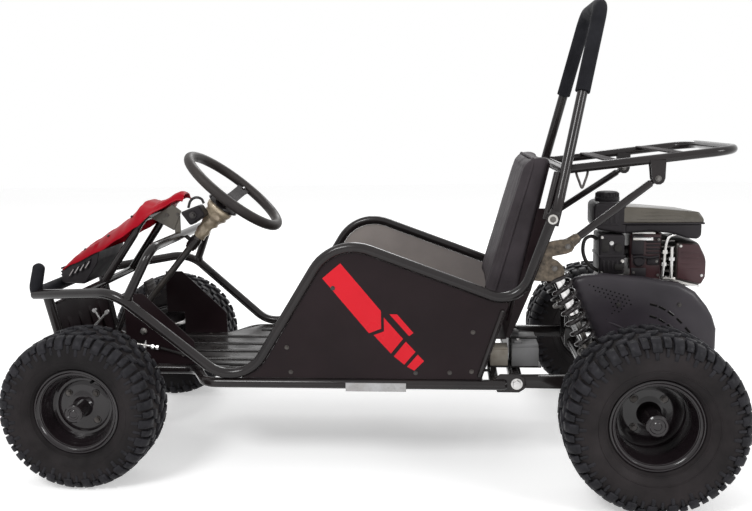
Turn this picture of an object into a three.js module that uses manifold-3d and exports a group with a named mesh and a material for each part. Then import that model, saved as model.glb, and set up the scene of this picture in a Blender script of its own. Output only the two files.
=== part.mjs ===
// An off-road go-kart: tube frame, steered front wheels, and a sprung rear swing arm that carries the engine.
// Millimetres. -X is the front of the kart, -Y its left side, +Z up. The ground is at Z = 0.
import * as THREE from "three";
import { mergeVertices } from "three/addons/utils/BufferGeometryUtils.js";
import Module from "manifold-3d";

const wasm = await Module();
wasm.setup();

// Clearances
const gap = 0.3; // between pieces that touch, or are welded or bolted together
const runningGap = 0.4; // round a shaft in its bore
const overrun = 20; // how far a cutting tool passes its piece
const weld = 1; // how far joined shapes run into each other

// Overall
const wheelbase = 1161;
const frontOverhang = 187; // from the front axle to the front of the bumper
const rearOverhang = 216; // from the rear axle to the end of the rack
const rearAxleX = 566;
const frontAxleX = rearAxleX - wheelbase;

// Wheels
const rimFlangeRadius = 90;
const rimSeatRadius = 78;
const rimWellDepth = 11;
const rimSheet = 2.6;
const rimFlangeWidth = 3;
const rimDiscSheet = 4;
const wellShare = 0.4; // of the rim's half width
const tyreWall = 8;
const lugDepth = 6;
const frontTyreRadius = 167;
const frontTyreWidth = 135;
const frontRimHalfWidth = 49;
const frontDiscOffset = 2;
const frontHubRadius = 17.5;
const frontHubReach = 62;
const frontHubTail = 30;
const rearTyreRadius = 177.5;
const rearTyreWidth = 150;
const rearRimHalfWidth = 53;
const rearDiscOffset = -34;
const rearHubRadius = 20;
const rearHubReach = 52;
const rearHubTail = 48;
const hubCapThickness = 6;
const tyreSegments = 28;
const rimSegments = 16;
const tubeSides = 8; // of a bent tube
const rodSides = 10; // of a straight rod
const flatFoot = Math.cos(Math.PI / tyreSegments); // a tyre stands on one of its flats
const frontAxleZ = frontTyreRadius * flatFoot;
const rearAxleZ = rearTyreRadius * flatFoot;

// Frame tubes: half widths are measured over the tube centres
const tubeRadius = 11;
const railZ = 197;
const sideY = 252;
const shoulderY = 278;
const noseY = 160;
const frontRailY = 150;
const bumperRadius = 14.5;
const bumperX = frontAxleX - frontOverhang + bumperRadius;
const bumperZ = 372;
const bumperEndRise = 72;
const bumperEndLean = 17;
const bumperBend = 26;

// Side tube: corners of its centre line, and the radius of each bend
const shoulderX = -534;
const shoulderZ = 399;
const shoulderBend = 85;
const valleyX = -275;
const valleyBend = 80;
const valleyDropShare = 0.53; // how far the corner lies below the bend, as a share of its radius
const valleyZ = railZ + 2 * tubeRadius + gap - valleyDropShare * valleyBend;
const humpX = -66;
const humpZ = 514;
const humpBend = 100;
const dipX = 320;
const dipZ = 368;
const dipBend = 60;
const sideTopX = 392;
const sideTopZ = 566;
const clampBoltZ = 549;
const clampBoltRadius = 5;
const clampHeadRadius = 9;
const clampHeadThickness = 5;

// Lower frame
const railRearX = 292;
const railJogX = -352;
const railJogRun = 48;
const railFrontInset = 65.5; // this and the other front insets are measured from the bumper
const railFrontX = bumperX + railFrontInset;
const railBend = 42;
const railTopInset = 29.5;
const railTopX = bumperX + railTopInset;
const pedalTubeX = -626;
const floorTubeX = -396;
const seatTubeXs = [30, 236];
const bracketThickness = 6;
const bracketLength = 54;
const bracketHeight = 38;
const bracketInset = 2;

// Roll bar
const rollTopX = 498;
const rollTopZ = 989;
const rollTopY = 106;
const rollKneeX = 399;
const rollKneeZ = 572;
const rollFootX = 386;
const rollFootZ = 512;
const rollKneeBend = 120;
const rollTopBend = 46;
const rollCrossZ = 645;
const padRadius = 16;
const padBottomZ = 806;

// Steering
const columnAngle = 50.3; // degrees above the ground
const wheelX = -335;
const wheelZ = 592;
const wheelRadius = 140;
const wheelGripRadius = 12;
const wheelHubRadius = 40;
const wheelHubThickness = 12;
const wheelDish = 45;
const spokeWidth = 34;
const spokeThickness = 6;
const spokeAngles = [90, 270];
const columnRadius = 8;
const columnLength = 420;
const bushRadius = 14;
const bushLength = 24;
const bushDistance = 161; // along the column, below the steering wheel
const pitmanEnd = 28; // from the arm to the column's lower end
const pitmanDistance = columnLength - pitmanEnd;
const pitmanLength = 45;
const pitmanThickness = 5;
const pitmanWidth = 42;
const pitmanPinRadius = 3.5;
const pitmanPinLength = 36;
const pitmanPinDrop = 18; // from the arm to the middle of a tie rod's eye
const eyePlay = 4; // round the pitman pins, where the linkage is left open
const eyeWall = 3;
const eyeHeight = 8;
const outerEyeHeight = 12;
const tieRodSpacing = 24;
const tieRodRadius = 5;
const hoopRadius = 10;
const hoopFootX = -512;
const hoopKneeX = -463;
const hoopKneeZ = 489;
const hoopKneeY = 238;
const hoopBend = 46;
const kingpinY = 222;
const kingpinToWheel = 101; // out to the middle of the wheel
const frontWheelY = kingpinY + kingpinToWheel;
const kingpinRadius = 8;
const kingpinHead = 4;
const knuckleRadius = 15;
const knuckleHeight = 54;
const earRadius = 16;
const earThickness = 6;
const webReach = 26; // from the kingpin to the web that carries its ears
const beamDepth = 26;
const beamHalfLength = 30;
const riserDistance = 18.5;
const riserThickness = 6;
const riserWidth = 20;
const armLength = 75;
const armInset = 8;
const armWidth = 14;
const armThickness = 6;
const armZ = 216;
const stubRadius = 8;
const stubCollarRadius = 13;

// Pedals
const pedalY = 85;
const pedalHubWall = 4.5;
const pedalHubWidth = 24;
const pedalArmThickness = 7;
const pedalArmWidth = 14;
const pedalPadX = -577;
const pedalPadZ = 338;
const pedalPadLength = 50;
const pedalPadWidth = 62;
const pedalPadThickness = 8;
const pedalPadLean = 20; // degrees

// Rear swing arm
const pivotX = 317;
const pivotZ = 199;
const pivotBoltRadius = 8;
const pivotTubeRadius = 15;
const outerArmY = 230;
const innerArmY = 139;
const armBarWidth = 18;
const armToTyre = 76; // from the outer bar to the side of the rear tyre
const rearWheelY = outerArmY + armBarWidth / 2 + armToTyre + rearTyreWidth / 2;
const armBarHeight = 30;
const clevisPlate = 4;
const clevisWidth = 30;
const clevisTopRise = 12;
const crossTubeRadius = 10;
const rearCrossX = 640;
const rearCrossZ = 252;
const plateTopZ = 266;
const plateThickness = 6;
const plateFrontX = 466;
const plateRearX = 700;
const plateHalfWidth = 128;
const bearingRadius = 24;
const bearingWidth = 24;

// Rear axle, drive and brake
const axleRadius = 12.5;
const driveY = -165;
const sprocketRadius = 70;
const sprocketTeeth = 36;
const toothDepth = 5;
const sprocketThickness = 5;
const hubFlangeRadius = 22;
const hubFlangeWidth = 11;
const crankX = 598;
const crankZ = 330;
const crankRadius = 9;
const clutchSprocketRadius = 24;
const clutchTeeth = 12;
const clutchDrumRadius = 36;
const clutchDrumWidth = 20;
const clutchHubRadius = 16;
const chainSideGap = 1;
const chainPlay = 1.4;
const chainThickness = 8;
const chainWidth = 8;
const brakeY = 165;
const brakeDiscRadius = 78;
const brakeDiscThickness = 4;
const caliperDepth = 34;
const caliperLength = 46;
const caliperHeight = 48;
const caliperForward = 60;
const caliperRise = 40;
const discPlay = 2;
const guardY = -200;
const guardDepth = 38;
const guardSheet = 2.5;
const guardRound = 12;

// Shock absorbers
const shockY = outerArmY;
const shockTopX = 392;
const shockTopZ = 446;
const shockBottomX = 478;
const shockBottomZ = 250;
const shockEyeRadius = 11;
const shockEyeWidth = 13;
const shockPinRadius = 5;
const shockPlay = 1.4; // round the lower pin, where the linkage is left open
const damperRadius = 12;
const damperLength = 92;
const damperRodRadius = 6;
const springRadius = 21;
const wireRadius = 4;
const springTurns = 7;
const cupRadius = 26;
const cupThickness = 5;
const cupInset = 20;

// Seat, panels and floor
const sheet = 2;
const seatHalfWidth = 182;
const backTopZ = 679;
const backTopX = 343;
const backTopDepth = 52;
const backBottomZ = 350;
const backBottomX = 241;
const backBottomDepth = 78;
const seatFrontX = -20;
const seatTopZ = 345;
const seatThickness = 66;
const seatRearGap = 4;
const shellSheet = 2.5;
const shellDrop = 6; // below the top of the back cushion
const floorFrontX = -560;
const floorRearX = 214;
const floorHalfWidth = 236;
const panelRearTopX = 300;
const panelRearTopZ = 372;
const panelRearBottomX = 243;
const footwellFrontX = -562;
const footwellNotchX = -516;
const footwellNotchZ = 264;
const footwellTopZ = 372;
const footwellRearX = -404;
const footwellRearZ = 262;

// Battery on its tray behind the seat
const batteryX = 310;
const batteryLength = 58;
const batteryY = -190;
const batteryWidth = 118;
const batteryHeight = 55;
const trayThickness = 3;
const trayLift = 20; // above the centre of the rear tube

// Cargo rack
const rackHalfWidth = 186;
const rackRise = 38;
const rackTubeRadius = 9.5;
const rackBend = 58;
const rackBarWidth = 30;
const rackBarThickness = 4;
const rackBarXs = [515, 650];
const strutRadius = 8;
const strutEyeRadius = 9;
const strutEyeWidth = 9;
const strutSidePlay = 3.8;
const strutPinRadius = 4;
const strutTopX = 607;
const strutDrop = 40; // from the rail's centre to the upper pin
const strutBottomX = 418;
const strutBottomZ = 492;
const strutBottomY = 236;
const gussetThickness = 5;
const gussetMargin = 14;

// Engine
const crankcaseLeftY = -128;
const crankcaseRightY = 62;
const crankcaseFrontX = 515;
const crankcaseRearX = 690;
const crankcaseTopZ = 395;
const shroudFrontX = 572;
const shroudRearX = 650;
const shroudLeftY = -112;
const shroudRightY = 76;
const fanRadius = 78;
const fanWidth = 56;
const tankBottomZ = 500;
const tankHeight = 60;
const tankFrontX = 488;
const tankRearX = 723;
const tankLeftY = -128;
const tankRightY = 88;
const tankRound = 7;
const capX = 524;
const capY = -80;
const capRadius = 27;
const capHeight = 20;
const capWall = 5;
const neckHeight = 10;
const filterFrontX = 503;
const filterRearX = 558;
const filterLeftY = -122;
const filterRightY = -30;
const filterBottomZ = 409;
const filterStubRadius = 14;
const filterRound = 5;
const mufflerFrontX = 669;
const mufflerRearX = 738;
const mufflerLeftY = -108;
const mufflerRightY = 50;
const mufflerBottomZ = 380;
const mufflerTopZ = 480;
const mufflerRound = 8;
const exhaustRadius = 12;

// Nose
const noseTipInset = 40.5;
const noseTipX = bumperX + noseTipInset;
const noseTipZ = 424;
const noseLength = 277;
const noseHeight = 160;
const noseTipHalfWidth = 62;
const noseTopHalfWidth = 133;
const noseSheet = 3;
const grilleFrontInset = 15.5;
const grilleLength = 110;
const grilleFrontX = bumperX + grilleFrontInset;
const grilleRearX = grilleFrontX + grilleLength;
const grilleBottomZ = 379;
const slatCount = 4;
const slatGap = 4;
const noseTubeRadius = 8;
const noseFootInset = 137.5;
const noseMiddleInset = 215.5;
const noseFootX = bumperX + noseFootInset;
const noseMiddleX = bumperX + noseMiddleInset;
const noseMiddleZ = 500;
const noseKneeShare = 0.7; // how far up the nose its support runs
const noseKneeY = 91;
const noseBends = [30, 34, 34, 30];
const noseSkinDrop = 1.6; // a share of the nose's sheet

// Cable
const cableRadius = 3;

// Colours, as the finished object shows them
const finish = {
  frame: { color: 0x141416, roughness: 0.35, metalness: 0.5 },
  panel: { color: 0x17181a, roughness: 0.4, metalness: 0.4 },
  vinyl: { color: 0x1b1b1d, roughness: 0.6, metalness: 0 },
  foam: { color: 0x161616, roughness: 0.85, metalness: 0 },
  rubber: { color: 0x1a1a1a, roughness: 0.9, metalness: 0 },
  rim: { color: 0x101012, roughness: 0.2, metalness: 0.6 },
  zinc: { color: 0xb4b6b8, roughness: 0.35, metalness: 0.9 },
  steel: { color: 0x5a5c60, roughness: 0.4, metalness: 0.9 },
  red: { color: 0xc41620, roughness: 0.3, metalness: 0.1 },
  plastic: { color: 0x1c1c1e, roughness: 0.5, metalness: 0 },
  grey: { color: 0x8b8d90, roughness: 0.5, metalness: 0 },
  casting: { color: 0x8d9094, roughness: 0.5, metalness: 0.8 },
};
const materials = {};
for (const [name, values] of Object.entries(finish)) {
  materials[name] = new THREE.MeshStandardMaterial(values);
}

const root = new THREE.Group();
// A bore's corners lie further out, so that its flats clear a shaft that turns
const boreFor = (radius, segments = rodSides) => (radius + runningGap) / Math.cos(Math.PI / segments);
const point = (x, y, z) => new THREE.Vector3(x, y, z);
const radians = THREE.MathUtils.degToRad;
const sides = [["left", -1], ["right", 1]];

function addPiece(name, geometry, material, parent = root) {
  const mesh = new THREE.Mesh(geometry, materials[material]);
  mesh.name = name;
  parent.add(mesh);
  return mesh;
}

// A closed geometry becomes a solid for a join or a cut, and the result a geometry again
function toSolid(geometry) {
  const bare = geometry.clone();
  for (const key of Object.keys(bare.attributes)) {
    if (key !== "position") bare.deleteAttribute(key);
  }
  const merged = mergeVertices(bare, 1e-3);
  return new wasm.Manifold(
    new wasm.Mesh({
      numProp: 3,
      vertProperties: new Float32Array(merged.attributes.position.array),
      triVerts: new Uint32Array(merged.index.array),
    }),
  );
}

function toGeometry(solid) {
  const mesh = solid.getMesh();
  const places = new Float32Array(mesh.numVert * 3);
  for (let i = 0; i < mesh.numVert; i++) {
    places.set(mesh.vertProperties.subarray(i * mesh.numProp, i * mesh.numProp + 3), i * 3);
  }
  const geometry = new THREE.BufferGeometry();
  geometry.setAttribute("position", new THREE.BufferAttribute(places, 3));
  geometry.setIndex(new THREE.BufferAttribute(new Uint32Array(mesh.triVerts), 1));
  geometry.computeVertexNormals();
  return geometry;
}

function join(...geometries) {
  return toGeometry(geometries.map(toSolid).reduce((a, b) => a.add(b)));
}

function cut(geometry, ...tools) {
  return toGeometry(tools.map(toSolid).reduce((a, b) => a.subtract(b), toSolid(geometry)));
}

function common(a, b) {
  return toGeometry(toSolid(a).intersect(toSolid(b)));
}

function box(x, y, z) {
  const geometry = new THREE.BoxGeometry(x[1] - x[0], y[1] - y[0], z[1] - z[0]);
  return geometry.translate((x[0] + x[1]) / 2, (y[0] + y[1]) / 2, (z[0] + z[1]) / 2);
}

// Low and high ends of a span about its middle
const about = (middle, size) => [middle - size / 2, middle + size / 2];
// The same span on the kart's left or right, low end first
const onSide = (side, near, far) => (side > 0 ? [near, far] : [-far, -near]);

function rod(from, to, radius, segments = rodSides) {
  const span = to.clone().sub(from);
  const geometry = new THREE.CylinderGeometry(radius, radius, span.length(), segments);
  const turn = new THREE.Quaternion().setFromUnitVectors(point(0, 1, 0), span.normalize());
  const middle = from.clone().add(to).divideScalar(2);
  return geometry.applyQuaternion(turn).translate(middle.x, middle.y, middle.z);
}

// A rod across the kart, at one x and z
function crossRod(x, z, y, radius, segments = rodSides) {
  return rod(point(x, y[0], z), point(x, y[1], z), radius, segments);
}

// An outline of [x, z] points, grown across the kart between two y values, with its rims rounded
function slab(outline, y, round = 0) {
  const shape = new THREE.Shape(outline.map(([x, z]) => new THREE.Vector2(x, z)));
  const geometry = new THREE.ExtrudeGeometry(shape, {
    depth: y[1] - y[0] - 2 * round,
    bevelEnabled: round > 0,
    bevelSize: round,
    bevelThickness: round,
    bevelOffset: -round,
    bevelSegments: 2,
  });
  return geometry.rotateX(Math.PI / 2).translate(0, y[1] - round, 0);
}

// An outline of [x, y] points, grown upwards between two z values
function sheetPlate(outline, z) {
  const shape = new THREE.Shape(outline.map(([x, y]) => new THREE.Vector2(x, y)));
  const geometry = new THREE.ExtrudeGeometry(shape, { depth: z[1] - z[0], bevelEnabled: false });
  return geometry.translate(0, 0, z[0]);
}

// A centre line of straight runs and round bends, with stations only where the tube turns
class BentLine extends THREE.Curve {
  constructor(corners, bends, arcStep = 24) {
    super();
    this.stations = [];
    corners.forEach((corner, i) => {
      const before = corners[i - 1];
      const after = corners[i + 1];
      if (!before || !after) {
        const way = before ? corner.clone().sub(before) : after.clone().sub(corner);
        this.stations.push({ place: corner, way: way.normalize() });
        return;
      }
      const inward = corner.clone().sub(before).normalize();
      const outward = after.clone().sub(corner).normalize();
      const turn = inward.angleTo(outward);
      const radius = Array.isArray(bends) ? bends[i - 1] : bends;
      const side = outward.clone().addScaledVector(inward, -Math.cos(turn)).normalize();
      const start = corner.clone().addScaledVector(inward, -radius * Math.tan(turn / 2));
      const centre = start.clone().addScaledVector(side, radius);
      const steps = Math.max(2, Math.ceil(turn / radians(arcStep)));
      for (let k = 0; k <= steps; k++) {
        const angle = (turn * k) / steps;
        const place = centre.clone();
        place.addScaledVector(side, -radius * Math.cos(angle));
        place.addScaledVector(inward, radius * Math.sin(angle));
        const way = inward.clone().multiplyScalar(Math.cos(angle));
        this.stations.push({ place, way: way.addScaledVector(side, Math.sin(angle)) });
      }
    });
  }

  get steps() {
    return this.stations.length - 1;
  }

  getPointAt(share) {
    return this.stations[Math.round(share * this.steps)].place.clone();
  }

  getTangentAt(share) {
    return this.stations[Math.round(share * this.steps)].way.clone();
  }

  nearest(x) {
    const away = (station) => Math.abs(station.place.x - x);
    return this.stations.reduce((a, b) => (away(b) < away(a) ? b : a)).place.clone();
  }
}

// Where a bent line passes an x value, on the straight run or chord between two stations
function placeAt(line, x, from = 0) {
  for (let i = from; i < line.steps; i++) {
    const a = line.stations[i].place;
    const b = line.stations[i + 1].place;
    if ((a.x - x) * (b.x - x) <= 0) return a.clone().lerp(b, (x - a.x) / (b.x - a.x));
  }
  return line.nearest(x);
}

function ring(radius, count) {
  return Array.from({ length: count }, (_, i) => {
    const angle = (2 * Math.PI * i) / count;
    return new THREE.Vector2(radius * Math.cos(angle), radius * Math.sin(angle));
  });
}

function tube(line, radius, boreRadius = 0, count = tubeSides) {
  const shape = new THREE.Shape(ring(radius, count));
  if (boreRadius) shape.holes.push(new THREE.Path(ring(boreRadius, count).reverse()));
  return new THREE.ExtrudeGeometry(shape, { steps: line.steps, extrudePath: line });
}

// A turned piece about Y: a profile of [radius, y] points
function turned(profile, segments) {
  return new THREE.LatheGeometry(
    profile.map(([r, y]) => new THREE.Vector2(r, y)),
    segments,
  );
}

// A ring across the kart, with a bore
function collar(x, z, y, radius, boreRadius, segments = 16) {
  const outer = crossRod(x, z, y, radius, segments);
  const bore = crossRod(x, z, [y[0] - overrun, y[1] + overrun], boreRadius, segments);
  return cut(outer, bore);
}

// Centre lines of the frame
function sideLine(side) {
  return new BentLine(
    [
      point(bumperX, side * noseY, bumperZ),
      point(shoulderX, side * shoulderY, shoulderZ),
      point(valleyX, side * sideY, valleyZ),
      point(humpX, side * sideY, humpZ),
      point(dipX, side * sideY, dipZ),
      point(sideTopX, side * sideY, sideTopZ),
    ],
    [shoulderBend, valleyBend, humpBend, dipBend],
  );
}

function railLine(side) {
  return new BentLine(
    [
      point(railRearX, side * sideY, railZ),
      point(railJogX, side * sideY, railZ),
      point(railJogX - railJogRun, side * frontRailY, railZ),
      point(railFrontX, side * frontRailY, railZ),
      point(railTopX, side * noseY, bumperZ),
    ],
    railBend,
  );
}

const rollFootY = sideY - 2 * tubeRadius - gap;
const rollLine = new BentLine(
  [
    point(rollFootX, -rollFootY, rollFootZ),
    point(rollKneeX, -rollFootY, rollKneeZ),
    point(rollTopX, -rollTopY, rollTopZ),
    point(rollTopX, rollTopY, rollTopZ),
    point(rollKneeX, rollFootY, rollKneeZ),
    point(rollFootX, rollFootY, rollFootZ),
  ],
  [rollKneeBend, rollTopBend, rollTopBend, rollKneeBend],
);

// Where a leg of the roll bar stands at a height, on the right side
function rollLegAt(z) {
  const share = (z - rollKneeZ) / (rollTopZ - rollKneeZ);
  return point(rollKneeX, rollFootY, rollKneeZ).lerp(point(rollTopX, rollTopY, rollTopZ), share);
}

const bumperLine = new BentLine(
  [
    point(bumperX + bumperEndLean, -noseY, bumperZ + bumperEndRise),
    point(bumperX, -noseY, bumperZ),
    point(bumperX, noseY, bumperZ),
    point(bumperX + bumperEndLean, noseY, bumperZ + bumperEndRise),
  ],
  bumperBend,
  30,
);

const sideTools = sides.map(([, side]) => tube(sideLine(side), tubeRadius + gap));
const bumperTool = tube(bumperLine, bumperRadius + gap);

// The plate behind each side tube that holds the shock absorber and the strut of the rack
function gusset(side) {
  const innerY = sideY - tubeRadius + gussetThickness;
  const flat = onSide(side, innerY, innerY + gussetThickness);
  const outline = [
    [sideTopX - 4 * tubeRadius, shockTopZ - 2 * gussetMargin],
    [shockTopX + gussetMargin, shockTopZ - gussetMargin],
    [strutBottomX + gussetMargin, strutBottomZ - gussetMargin],
    [strutBottomX + gussetMargin, strutBottomZ + gussetMargin],
    [strutBottomX - gussetMargin, strutBottomZ + gussetMargin],
    [sideTopX - tubeRadius, shockTopZ + 4 * gussetMargin],
  ];
  const pinInner = shockY - shockEyeWidth / 2 - gap;
  const pinY = onSide(side, pinInner, sideY);
  return join(
    slab(outline, flat),
    crossRod(shockTopX, shockTopZ, pinY, shockPinRadius, 8),
    crossRod(strutBottomX, strutBottomZ, pinY, strutPinRadius, 8),
  );
}

function sideTube(side) {
  const bolt = clampBoltRadius + runningGap;
  const boltHole = crossRod(clampBoltX, clampBoltZ, onSide(side, rollFootY, sideY + overrun), bolt);
  const bare = cut(tube(sideLine(side), tubeRadius), bumperTool, boltHole);
  return join(bare, gusset(side));
}

const clampBoltX = sideTopX - ((sideTopZ - clampBoltZ) * (sideTopX - dipX)) / (sideTopZ - dipZ);

// Lower rails, their cross tubes, the swing arm's brackets and bolt, and the battery tray
const trayZ = railZ + trayLift;
function floorFrame() {
  const rearTubeX = railRearX - 2 * tubeRadius;
  const rails = sides.map(([, side]) => tube(railLine(side), tubeRadius));
  const crosses = [
    crossRod(pedalTubeX, railZ, [-frontRailY, frontRailY], tubeRadius),
    crossRod(floorTubeX, railZ, [-frontRailY, frontRailY], tubeRadius),
    ...[...seatTubeXs, rearTubeX].map((x) => crossRod(x, railZ, [-sideY, sideY], tubeRadius)),
  ];
  const bracketX = [rearTubeX, rearTubeX + bracketLength + tubeRadius];
  const bracketY = sideY - tubeRadius + bracketInset;
  const brackets = sides.map(([, side]) =>
    box(
      bracketX,
      onSide(side, bracketY, bracketY + bracketThickness),
      about(pivotZ, bracketHeight),
    ),
  );
  const bolt = crossRod(pivotX, pivotZ, about(0, 2 * sideY), pivotBoltRadius);
  const trayX = [batteryX - bracketThickness, batteryX + batteryLength + bracketThickness];
  const trayY = [batteryY, batteryY + batteryWidth];
  const tray = box([rearTubeX - tubeRadius, trayX[1]], trayY, [trayZ, trayZ + trayThickness]);
  const riser = box(about(rearTubeX, tubeRadius), trayY, [railZ, trayZ + trayThickness / 2]);
  const post = columnPost();
  const whole = join(...rails, ...crosses, ...brackets, bolt, tray, riser, post);
  return cut(whole, ...sideTools, columnBore());
}

// The steering column: a unit vector up it, and places along it below the wheel
const column = point(Math.cos(radians(columnAngle)), 0, Math.sin(radians(columnAngle)));
const columnTop = point(wheelX, 0, wheelZ);
const alongColumn = (distance) => columnTop.clone().addScaledVector(column, -distance);
const acrossColumn = point(-column.z, 0, column.x); // to the front and up

function columnBore() {
  const from = alongColumn(bushDistance - bushLength);
  return rod(from, alongColumn(columnLength + gap), boreFor(columnRadius));
}

// The lower bush of the column, on a post from the pedal tube
function columnPost() {
  const bush = rod(alongColumn(columnLength - bushLength / 2), alongColumn(columnLength), bushRadius);
  const foot = alongColumn(columnLength - bushLength / 4);
  const postOutline = [
    [pedalTubeX - earThickness, railZ],
    [pedalTubeX + earThickness, railZ],
    [foot.x + earThickness, foot.z],
    [foot.x - earThickness, foot.z],
  ];
  return join(bush, slab(postOutline, about(0, bushRadius)));
}

function steeringHoop() {
  const feet = sides.map(([, side]) => placeAt(sideLine(side), hoopFootX));
  const line = new BentLine(
    [
      feet[0],
      point(hoopKneeX, -hoopKneeY, hoopKneeZ),
      point(hoopKneeX, hoopKneeY, hoopKneeZ),
      feet[1],
    ],
    hoopBend,
  );
  const bush = rod(
    alongColumn(bushDistance - bushLength / 2),
    alongColumn(bushDistance + bushLength / 2),
    bushRadius,
  );
  const arm = rod(alongColumn(bushDistance), point(hoopKneeX, 0, hoopKneeZ), hoopRadius / 2);
  return cut(join(tube(line, hoopRadius), bush, arm), ...sideTools, columnBore());
}

// Front beam with its kingpins
const knuckleBottomZ = frontAxleZ - knuckleHeight / 2;
const knuckleTopZ = frontAxleZ + knuckleHeight / 2;
function frontBeam() {
  const topZ = railZ - tubeRadius - gap;
  const beamX = about(frontAxleX, beamDepth);
  const pieces = [box(beamX, about(0, 2 * (kingpinY - webReach)), [topZ - beamDepth, topZ])];
  for (const [, side] of sides) {
    const y = side * kingpinY;
    const ears = [
      [knuckleBottomZ - gap - earThickness, knuckleBottomZ - gap],
      [knuckleTopZ + gap, knuckleTopZ + gap + earThickness],
    ];
    for (const [low, high] of ears) {
      pieces.push(rod(point(frontAxleX, y, low), point(frontAxleX, y, high), earRadius, 16));
      pieces.push(box(beamX, onSide(side, kingpinY - webReach, kingpinY), [low, high]));
    }
    const webY = onSide(side, kingpinY - webReach - earThickness, kingpinY - webReach);
    pieces.push(box(beamX, webY, [ears[0][0], ears[1][1]]));
    const pinZ = [ears[0][0] - kingpinHead, ears[1][1] + kingpinHead];
    const pin = [point(frontAxleX, y, pinZ[0]), point(frontAxleX, y, pinZ[1])];
    pieces.push(rod(pin[0], pin[1], kingpinRadius));
  }
  return join(...pieces);
}

// A steered knuckle: barrel on the kingpin, stub axle, and a raised arm for the tie rod
function knuckle(side) {
  const y = side * kingpinY;
  const barrel = rod(
    point(frontAxleX, y, knuckleBottomZ),
    point(frontAxleX, y, knuckleTopZ),
    knuckleRadius,
    16,
  );
  const bore = rod(
    point(frontAxleX, y, knuckleBottomZ - overrun),
    point(frontAxleX, y, knuckleTopZ + overrun),
    boreFor(kingpinRadius),
  );
  const hubInner = frontWheelY - frontHubTail;
  const stubEnd = frontWheelY + frontHubReach - hubCapThickness - gap;
  const collarY = onSide(side, kingpinY + knuckleRadius - earThickness, hubInner - gap);
  const stubY = onSide(side, hubInner - earThickness, stubEnd);
  const riserY = onSide(side, kingpinY + riserDistance, kingpinY + riserDistance + riserThickness);
  const riserX = about(frontAxleX, riserWidth);
  const armTopZ = armZ + armThickness;
  const armX = [frontAxleX - riserWidth / 2, frontAxleX + armLength + armWidth / 2];
  const armY = onSide(side, kingpinY - armInset - armWidth / 2, kingpinY - armInset + armWidth / 2);
  const bridgeY = onSide(side, kingpinY - armInset, kingpinY + riserDistance + riserThickness);
  return join(
    cut(barrel, bore),
    crossRod(frontAxleX, frontAxleZ, collarY, stubCollarRadius),
    crossRod(frontAxleX, frontAxleZ, stubY, stubRadius),
    box(riserX, riserY, [frontAxleZ, armTopZ]),
    box(riserX, bridgeY, [armZ, armTopZ]),
    box(armX, armY, [armZ, armTopZ]),
  );
}

// Places of a tie rod's two eyes
const pitmanTip = alongColumn(pitmanDistance).addScaledVector(acrossColumn, -pitmanLength);
const tieInner = (side) =>
  point(pitmanTip.x, (side * tieRodSpacing) / 2, pitmanTip.z - pitmanPinDrop);
const tieOuter = (side) =>
  point(
    frontAxleX + armLength,
    side * (kingpinY - armInset),
    armZ + armThickness + gap + outerEyeHeight / 2,
  );

function tieRod(side) {
  const inner = tieInner(side);
  const outer = tieOuter(side);
  const boreRadius = pitmanPinRadius + eyePlay;
  const eye = (place, radius, height) =>
    rod(
      point(place.x, place.y, place.z - height / 2),
      point(place.x, place.y, place.z + height / 2),
      radius,
    );
  const way = outer.clone().sub(inner).normalize();
  const start = inner.clone().addScaledVector(way, boreRadius + eyeWall / 2);
  return join(
    cut(eye(inner, boreRadius + eyeWall, eyeHeight), eye(inner, boreRadius, eyeHeight + overrun)),
    rod(start, outer, tieRodRadius, 8),
    eye(outer, boreRadius, outerEyeHeight),
  );
}

// The column turns in its bushes. The group's own Z is the column's axis, its Y the kart's.
const columnGroup = new THREE.Group();
columnGroup.position.copy(columnTop);
columnGroup.rotation.y = radians(90 - columnAngle);
root.add(columnGroup);

function steeringShaft() {
  const upper = -wheelDish - gap;
  const arm = box(
    [-columnRadius, pitmanLength + pitmanThickness * 1.6],
    about(0, pitmanWidth),
    about(-pitmanDistance, pitmanThickness),
  );
  return join(rod(point(0, 0, -columnLength), point(0, 0, upper), columnRadius), arm);
}

// Two pins hang from the pitman arm through the tie rods' eyes
function pitmanPins() {
  const pins = sides.map(([, side]) => {
    const top = point(pitmanTip.x, (side * tieRodSpacing) / 2, pitmanTip.z);
    return rod(top, top.clone().setZ(top.z - pitmanPinLength), pitmanPinRadius, 8);
  });
  return pins.map((pin) => pin.applyMatrix4(columnGroup.matrix.clone().invert()));
}

function steeringWheel() {
  const middle = wheelRadius - wheelGripRadius;
  const grip = new THREE.TorusGeometry(middle, wheelGripRadius, 6, 24);
  const hub = rod(point(0, 0, -wheelDish), point(0, 0, wheelHubThickness - wheelDish), wheelHubRadius, 20);
  const spokes = spokeAngles.map((angle) => {
    const from = wheelHubRadius / 2;
    const spoke = box([from, middle], about(0, spokeWidth), about(0, spokeThickness));
    const lean = Math.atan2(wheelDish - spokeThickness / 2, middle - from);
    spoke.translate(-middle, 0, 0).rotateY(-lean).translate(middle, 0, 0);
    return spoke.rotateZ(radians(angle));
  });
  return join(grip, hub, ...spokes);
}

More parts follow.
